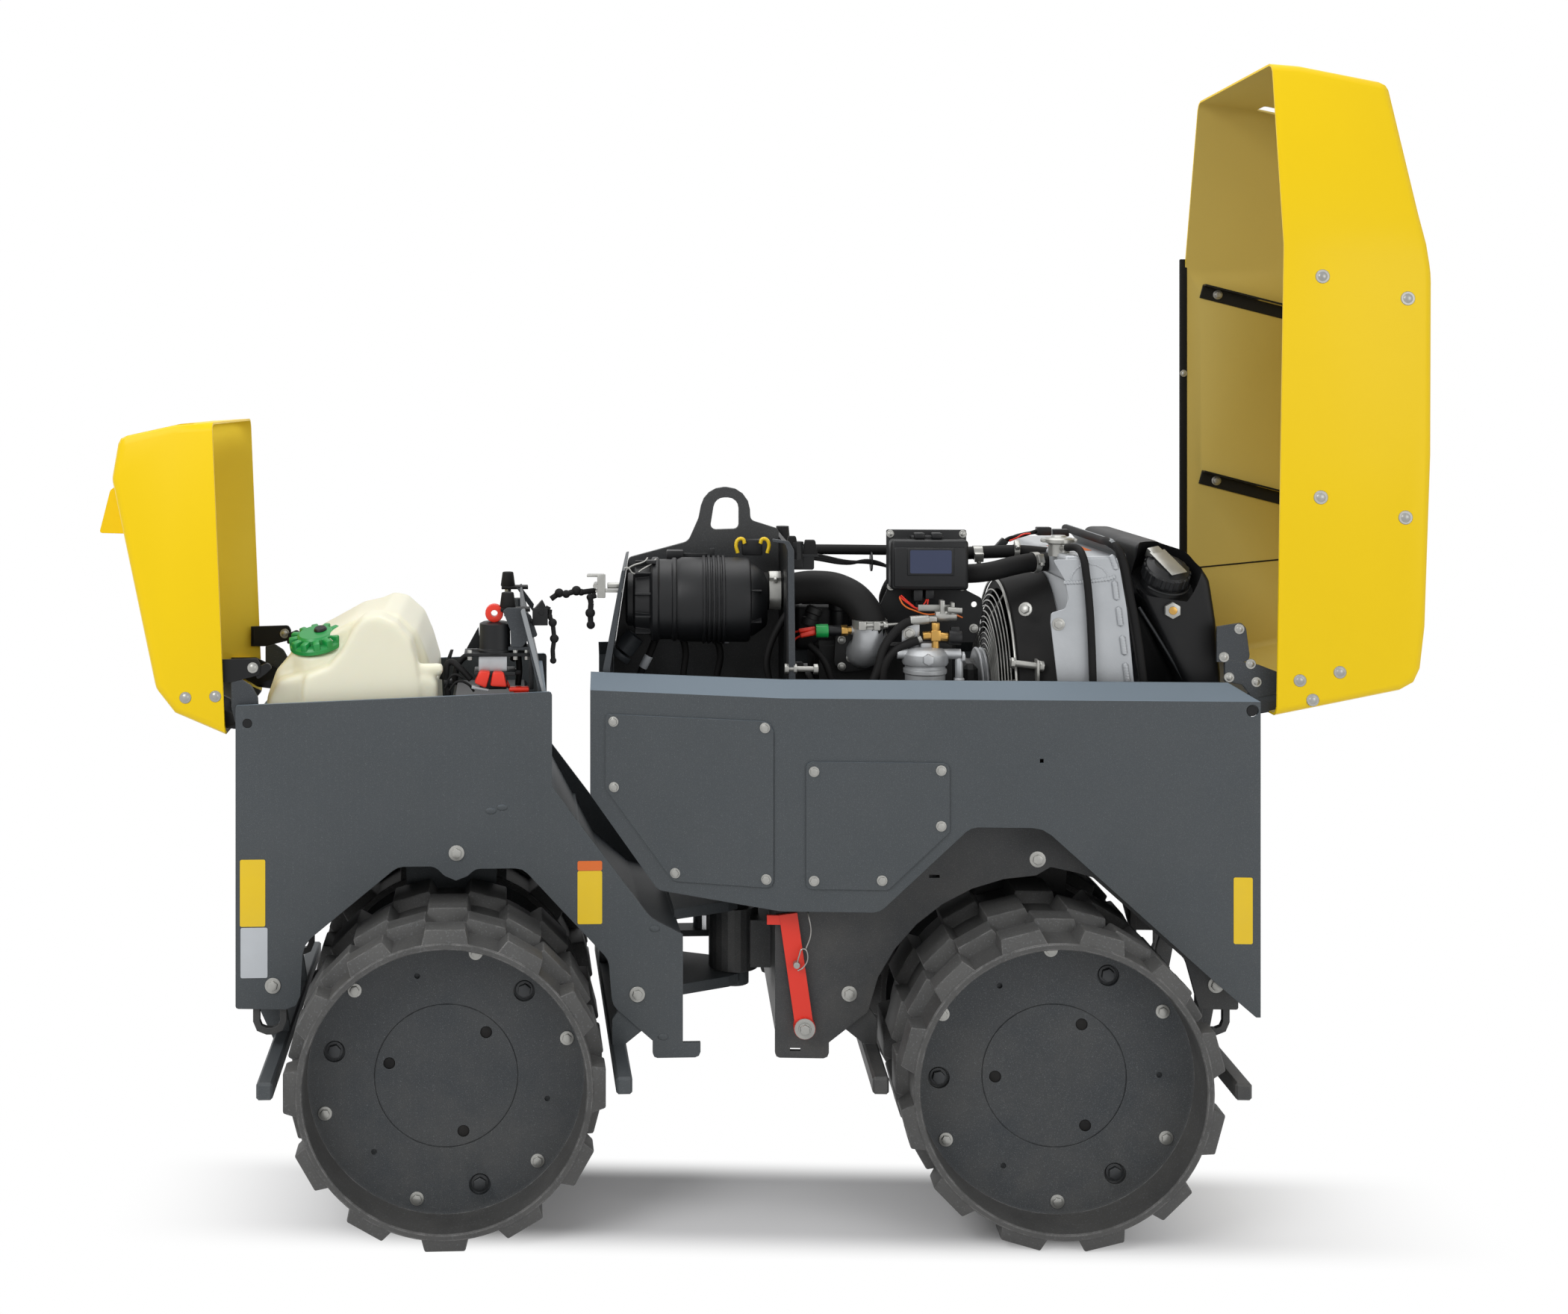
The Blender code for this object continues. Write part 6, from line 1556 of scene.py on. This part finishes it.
# Fuel tank behind the radiator
def makeFuelTank():
    low = 0.6403
    body = outlineOf([
        (0.815, low, 0.01), (0.806, 0.945, 0.012), (0.72, 1.125, 0.02), (0.7165, 1.198, 0.01),
        (0.762, 1.198, 0.03), (0.818, 1.18, 0.03), (0.848, 1.132, 0.03), (0.859, 1.06, 0.02),
        (0.868, 0.962, 0.01), (0.866, low, 0.01),
    ], 5)
    back = outlineOf([
        (0.752, low, 0.01), (0.7255, 1.196, 0.014), (0.775, 1.196, 0.02), (0.826, 1.174, 0.028),
        (0.858, 1.04, 0.02), (0.858, low, 0.01),
    ], 5)
    shapes = [sheetShape(body, -0.228, -0.06, 0.014, 3), sheetShape(back, -0.13, 0.228, 0.014, 3)]
    lean = Vector((0.12, -0.55, 0.83)).normalized()
    base = Vector((0.77, -0.196, 1.122))
    tank = moulded("fuelTankBody", shapes, "rear_unit", "moulding", ("fuel_tank",), 0.004, 4)
    carve(tank, moved(rodShape(base - lean * 0.002, base + lean * 0.16, 0.056, 0.066, 48), rearPlace))
    rearPiece("tankNeck", [rodShape(
        base - lean * 0.02, base + lean * 0.014, 0.043, 0.037, 40, 0.003,
    )], "moulding")
    cap = turnedShape([
        (0, 0.046), (0.026, 0.046), (0.031, 0.042), (0.038, 0.04), (0.041, 0.036), (0.041, 0.014),
        (0.038, 0.011), (0, 0.011),
    ], 48, "Z")
    grips = ringOf(18, (0.036, 0.0425), (-0.004, 0.004), (0.015, 0.038), 0.0012, 1)
    seat = aim(base, lean)
    rearPiece("tankCap", [moved(shape, seat) for shape in [cap] + grips], "blackPlastic", ("fuel_cap",))
    turns = [radians(step) for step in range(-150, -29, 10)]
    ring = [seat @ Vector((0.047 * cos(turn), 0.047 * sin(turn), 0.014)) for turn in turns]
    tubes("capRing", [ring], 0.0022, "blackPlastic")
    plate = boxShape((-0.017, 0.017), (-0.03, 0.036), (0.047, 0.0495), 0.001)
    hasp = boxShape((-0.014, 0.012), (0.03, 0.048), (0.03, 0.05), 0.002)
    turned = seat @ Matrix.Rotation(radians(14), 4, "Z")
    rearPiece("capFlap", [moved(plate, turned), moved(hasp, turned)], "zincPlate")
    plug = [rodShape((0.779, -0.226, 1.078), (0.779, -0.236, 1.078), 0.0155, sides=6, edge=0.0012)]
    rearPiece("tankPlug", plug, "zincPlate")
    rearPiece("tankPlugCentre", [rodShape(
        (0.779, -0.234, 1.078), (0.779, -0.2375, 1.078), 0.0075, sides=24, edge=0.0008,
    )], "brass")
    tubes("tankRod", [[
        (0.727, -0.205, 1.08), (0.77, -0.205, 1.012), (0.806, -0.205, 0.95),
    ]], 0.003, "bracketSteel")


makeFuelTank()
print("stage: fuel tank built")


# Front bay: tank, its cap, battery switch, leads and the bulkhead's buffers
frontTank = {"low": 0.6403, "cap": (-0.793, -0.125, 1.001), "lean": (-0.12, -0.28, 0.95)}


def makeFrontTank():
    low = frontTank["low"]
    main = outlineOf([
        (-0.884, low, 0.02), (-0.884, 0.905, 0.03), (-0.866, 0.958, 0.02), (-0.835, 0.99, 0.02),
        (-0.775, 1.022, 0.02), (-0.73, 1.047, 0.02), (-0.69, 1.056, 0.01), (-0.667, 1.066, 0.01),
        (-0.64, 1.06, 0.02), (-0.607, 1.03, 0.02), (-0.59, 0.99, 0.02), (-0.575, 0.94, 0.02),
        (-0.56, low, 0.02),
    ], 5)
    lobe = outlineOf([
        (-0.815, low, 0.02), (-0.812, 0.93, 0.02), (-0.808, 0.958, 0.012), (-0.765, 0.975, 0.012),
        (-0.742, 1.0, 0.02), (-0.722, 1.04, 0.02), (-0.702, 1.0635, 0.02), (-0.671, 1.066, 0.02),
        (-0.641, 1.052, 0.02), (-0.614, 1.022, 0.02), (-0.604, 0.983, 0.02), (-0.596, 0.93, 0.01),
        (-0.594, low, 0.01),
    ], 5)
    shoulder = outlineOf([
        (-0.88, low, 0.02), (-0.878, 0.9, 0.02), (-0.86, 0.945, 0.02), (-0.82, 0.957, 0.01),
        (-0.785, 0.96, 0), (-0.785, low, 0),
    ], 5)
    spoutLobe = outlineOf([
        (-0.64, low, 0.01), (-0.62, 0.95, 0.01), (-0.585, 0.958, 0.014), (-0.566, 0.945, 0.014),
        (-0.564, low, 0.01),
    ], 5)
    shapes = [
        sheetShape(main, -0.15, 0.18, 0.022, 3), sheetShape(lobe, -0.2125, -0.11, 0.018, 3),
        sheetShape(shoulder, -0.19, -0.1, 0.018, 3), sheetShape(spoutLobe, -0.205, -0.12, 0.014, 3),
    ]
    base, lean = Vector(frontTank["cap"]), Vector(frontTank["lean"]).normalized()
    shapes.append(rodShape(base - lean * 0.05, base - lean * 0.003, 0.06, 0.05, 40, 0.004))
    shapes.append(rodShape((-0.6, -0.19, 0.964), (-0.557, -0.19, 0.965), 0.0115, 0.011, 24, 0.002))
    moulded("frontTankBody", shapes, "front_unit", "ivoryTank", ("front_tank",), 0.004, 8)
    seat = aim(base, lean)
    cap = turnedShape([
        (0, 0.026), (0.03, 0.026), (0.034, 0.022), (0.034, 0.014), (0.046, 0.012), (0.05, 0.008),
        (0.05, 0.0012), (0, 0.0012),
    ], 48, "Z")
    lobes = ringOf(12, (0.03, 0.0495), (-0.0065, 0.0065), (0.006, 0.0225), 0.003, 2)
    frontPiece("tankCapGreen", [
        moved(shape, seat)
        for shape in [cap] + lobes
    ], "greenCap", ("front_tank_cap",))
    vent = turnedShape([(0, 0.031), (0.01, 0.031), (0.012, 0.028), (0.012, 0.025), (0, 0.025)], 24, "Z")
    frontPiece("tankVent", [moved(vent, seat @ Matrix.Translation((0.006, 0.01, 0)))], "blackPlastic")


def makeBatterySwitch():
    profile = [
        (0, 0), (0.0315, 0), (0.0315, 0.005), (0.0285, 0.007), (0.028, 0.052), (0.022, 0.055), (0, 0.055),
    ]
    body = [turnedShape(profile, 40, "Z", (-0.4625, -0.184, 0.995))]
    body += [
        boxShape((-0.5, -0.425), (-0.216, -0.152), (0.955, 0.963), 0.002),
        boxShape((-0.49, -0.44), (-0.212, -0.165), (0.93, 0.957), 0.003),
    ]
    frontPiece("switchBody", body, "blackPlastic", ("battery_switch",))
    frontPiece("switchBase", [boxShape(
        (-0.492, -0.44), (-0.208, -0.16), (0.962, 0.991), 0.002,
    )], "castAlloy")
    gusset = [(-0.515, 0.997), (-0.493, 1.037), (-0.489, 0.997)]
    frontPiece("switchLedge", [
        boxShape((-0.518, -0.392), (-0.214, -0.15), (0.99, 0.996), 0.001),
        sheetShape(gusset, -0.158, -0.154, 0.0005, 1),
        boxShape((-0.399, -0.392), (-0.214, -0.15), (0.93, 0.992), 0.001),
    ], "blackPaint")
    blade = outlineOf([
        (-0.492, 1.052, 0.004), (-0.49, 1.079, 0.006), (-0.466, 1.084, 0.006), (-0.447, 1.072, 0.01),
        (-0.449, 1.055, 0.008), (-0.463, 1.048, 0.004),
    ], 4)
    key = [
        rodShape((-0.4645, -0.184, 1.038), (-0.4645, -0.184, 1.052), 0.0125, 0.0115, 28, 0.0015),
        sheetShape(blade, -0.191, -0.177, 0.003, 2),
        rodShape((-0.4635, -0.194, 1.066), (-0.4635, -0.174, 1.066), 0.0165, sides=32, edge=0.002),
    ]
    red = frontPiece("switchKey", key, "redPaint")
    carve(red, moved(rodShape((-0.4635, -0.25, 1.066), (-0.4635, -0.12, 1.066), 0.0062), frontPlace))
    flaps = [
        [(-0.49, 0.966), (-0.47, 0.964), (-0.478, 0.933), (-0.5, 0.943)],
        [(-0.466, 0.964), (-0.446, 0.963), (-0.44, 0.935), (-0.471, 0.937)],
    ]
    boots = [sheetShape(flap, -0.222, -0.205, 0.004) for flap in flaps]
    boots += [
        boxShape((-0.437, -0.4), (-0.218, -0.196), (0.926, 0.934), 0.003),
        boxShape((-0.428, -0.4), (-0.216, -0.2), (0.918, 0.928), 0.003),
    ]
    frontPiece("redBoots", boots, "redPaint")
    frontPiece(
        "cableLug",
        [sheetShape([
            (-0.504, 0.938), (-0.473, 0.931), (-0.474, 0.926), (-0.505, 0.932),
        ], -0.216, -0.206, 0.001)],
        "castAlloy",
    )
    lever = [(-0.566, 0.94), (-0.545, 0.994), (-0.539, 0.994), (-0.555, 0.938)]
    frontPiece("switchLever", [sheetShape(lever, -0.152, -0.146, 0.001)], "blackPaint")
    screws = [(-0.508, -0.206, 0.997), (-0.425, -0.206, 0.997), (-0.404, -0.206, 0.997)]
    frontPiece("switchScrews", [
        rodShape((x, y, z - 0.014), (x, y, z + 0.004), 0.0048, sides=6, edge=0.0006)
        for x, y, z in screws
    ], "zincPlate")
    cables = [
        [
            (-0.506, -0.19, 0.945), (-0.53, -0.182, 0.968), (-0.545, -0.176, 0.975),
            (-0.552, -0.176, 0.955), (-0.548, -0.18, 0.915),
        ],
        [(-0.475, -0.15, 0.976), (-0.5, -0.14, 0.985), (-0.528, -0.142, 0.97), (-0.538, -0.15, 0.93)],
        [(-0.43, -0.15, 0.975), (-0.424, -0.158, 0.99), (-0.418, -0.165, 0.968), (-0.42, -0.168, 0.93)],
    ]
    tubes("batteryCables", cables, 0.0058, "blackRubber", (), 4, "front_unit")
    thin = [
        [(-0.545, -0.205, 0.928), (-0.53, -0.207, 0.944), (-0.512, -0.208, 0.94), (-0.5, -0.208, 0.926)],
        [(-0.553, -0.196, 0.93), (-0.538, -0.198, 0.955), (-0.52, -0.2, 0.95)],
    ]
    tubes("thinLeads", thin, 0.0022, "blackRubber", body="front_unit")
    tubes("redLead", [[
        (-0.436, -0.192, 0.93), (-0.446, -0.186, 0.946), (-0.456, -0.18, 0.95),
    ]], 0.0032, "redPaint", body="front_unit")
    frontPiece("cableClips", [
        boxShape((-0.556, -0.54), (-0.19, -0.17), (0.934, 0.944), 0.002),
        boxShape((-0.432, -0.414), (-0.176, -0.158), (0.95, 0.96), 0.002),
    ], "blackPlastic")
    near = outlineOf([
        (-0.448, 1.072, 0.003), (-0.44, 1.078, 0.003), (-0.416, 1.078, 0.008), (-0.397, 1.064, 0.006),
        (-0.384, 1.026, 0.004), (-0.4, 1.021, 0.004), (-0.412, 1.006, 0.003), (-0.433, 1.006, 0.003),
        (-0.434, 1.036, 0.006), (-0.443, 1.06, 0.006),
    ], 3)
    far = [(-0.422, 1.074), (-0.408, 1.07), (-0.386, 1.04), (-0.389, 1.026)]
    frontPiece("bufferPlates", [
        sheetShape(near, -0.207, -0.2035, 0.0006, 1), sheetShape(far, 0.1635, 0.1665, 0.0006, 1),
    ], "greyPlate")
    cones, studs = [], []
    for y in (-0.185, 0.185):
        cones.append(rodShape((-0.439, y, 1.075), (-0.439, y, 1.104), 0.015, 0.011, 28, 0.002))
        cones.append(boxShape((-0.452, -0.398), (y - 0.019, y + 0.019), (1.07, 1.0755), 0.001))
        studs.append(rodShape((-0.439, y, 1.06), (-0.439, y, 1.071), 0.0075, sides=6, edge=0.0008))
    frontPiece("frontBuffers", cones, "blackRubber")
    frontPiece("bufferStuds", studs, "zincPlate")
    rib = outlineOf([
        (-0.416, 1.076, 0.004), (-0.408, 1.079, 0.002), (-0.389, 1.007, 0), (-0.3715, 0.925, 0),
        (-0.3765, 0.925, 0),
    ], 3)
    frontPiece("bulkheadEdge", [sheetShape(rib, -0.2285, -0.2235, 0.0006, 1)], "palePlate")
    wedge = [(-0.392, 1.074), (-0.376, 1.092), (-0.37, 1.08), (-0.366, 1.066), (-0.376, 1.06)]
    latchParts = [
        sheetShape(wedge, -0.212, -0.192, 0.002),
        rodShape((-0.378, -0.215, 1.07), (-0.378, -0.19, 1.07), 0.005, sides=16),
        boxShape((-0.398, -0.372), (-0.212, -0.192), (1.05, 1.056), 0.001),
        boxShape((-0.394, -0.366), (-0.2135, -0.211), (1.046, 1.078), 0.001),
    ]
    frontPiece("frontLatch", latchParts, "blackPaint")
    strap = [
        (-0.37, -0.205, 1.078), (-0.362, -0.205, 1.074), (-0.363, -0.205, 1.062), (-0.357, -0.205, 1.05),
        (-0.354, -0.205, 1.021), (-0.357, -0.205, 1.0), (-0.356, -0.205, 0.981),
    ]
    frontPiece("frontStrap", strapShape(strap, 0.0042, [
        (2, 0.0056), (3, 0.0078), (4, 0.0082), (6, 0.006),
    ]), "blackRubber")


makeFrontTank()
makeBatterySwitch()
print("stage: front bay built")


# Finishes of the solids that stay
solidLooks = {
    "bodyPaint": [
        "skin_near", "skin_far", "cover_fore_near", "cover_fore_far", "cover_aft_near", "cover_aft_far",
        "front_frame", "rear_panel",
    ],
    "framePaint": [
        "rear_frame", "steer_anchor", "lifting_plate", "rear_tie_loop_near", "rear_tie_loop_far",
        "front_tie_loop_near", "front_tie_loop_far",
    ],
    "hoodPaint": ["sensor_box"], "greyPlate": ["bulkhead_fore", "front_bulkhead"],
    "blackPaint": ["bulkhead_mid"], "bracketSteel": ["air_cleaner_strap", "front_axle", "rear_axle"],
    "blackPlastic": ["fan", "battery", "steer_barrel"], "palePlate": ["edge_panel"], "castIron": ["engine"],
    "chromeRod": ["steer_rod"], "redPaint": ["lock_bar"],
}
for look, names in solidLooks.items():
    for name in names:
        nodes[name].data.materials.clear()
        nodes[name].data.materials.append(looks[look])
print("stage: solids finished,", sum(len(names) for names in solidLooks.values()))
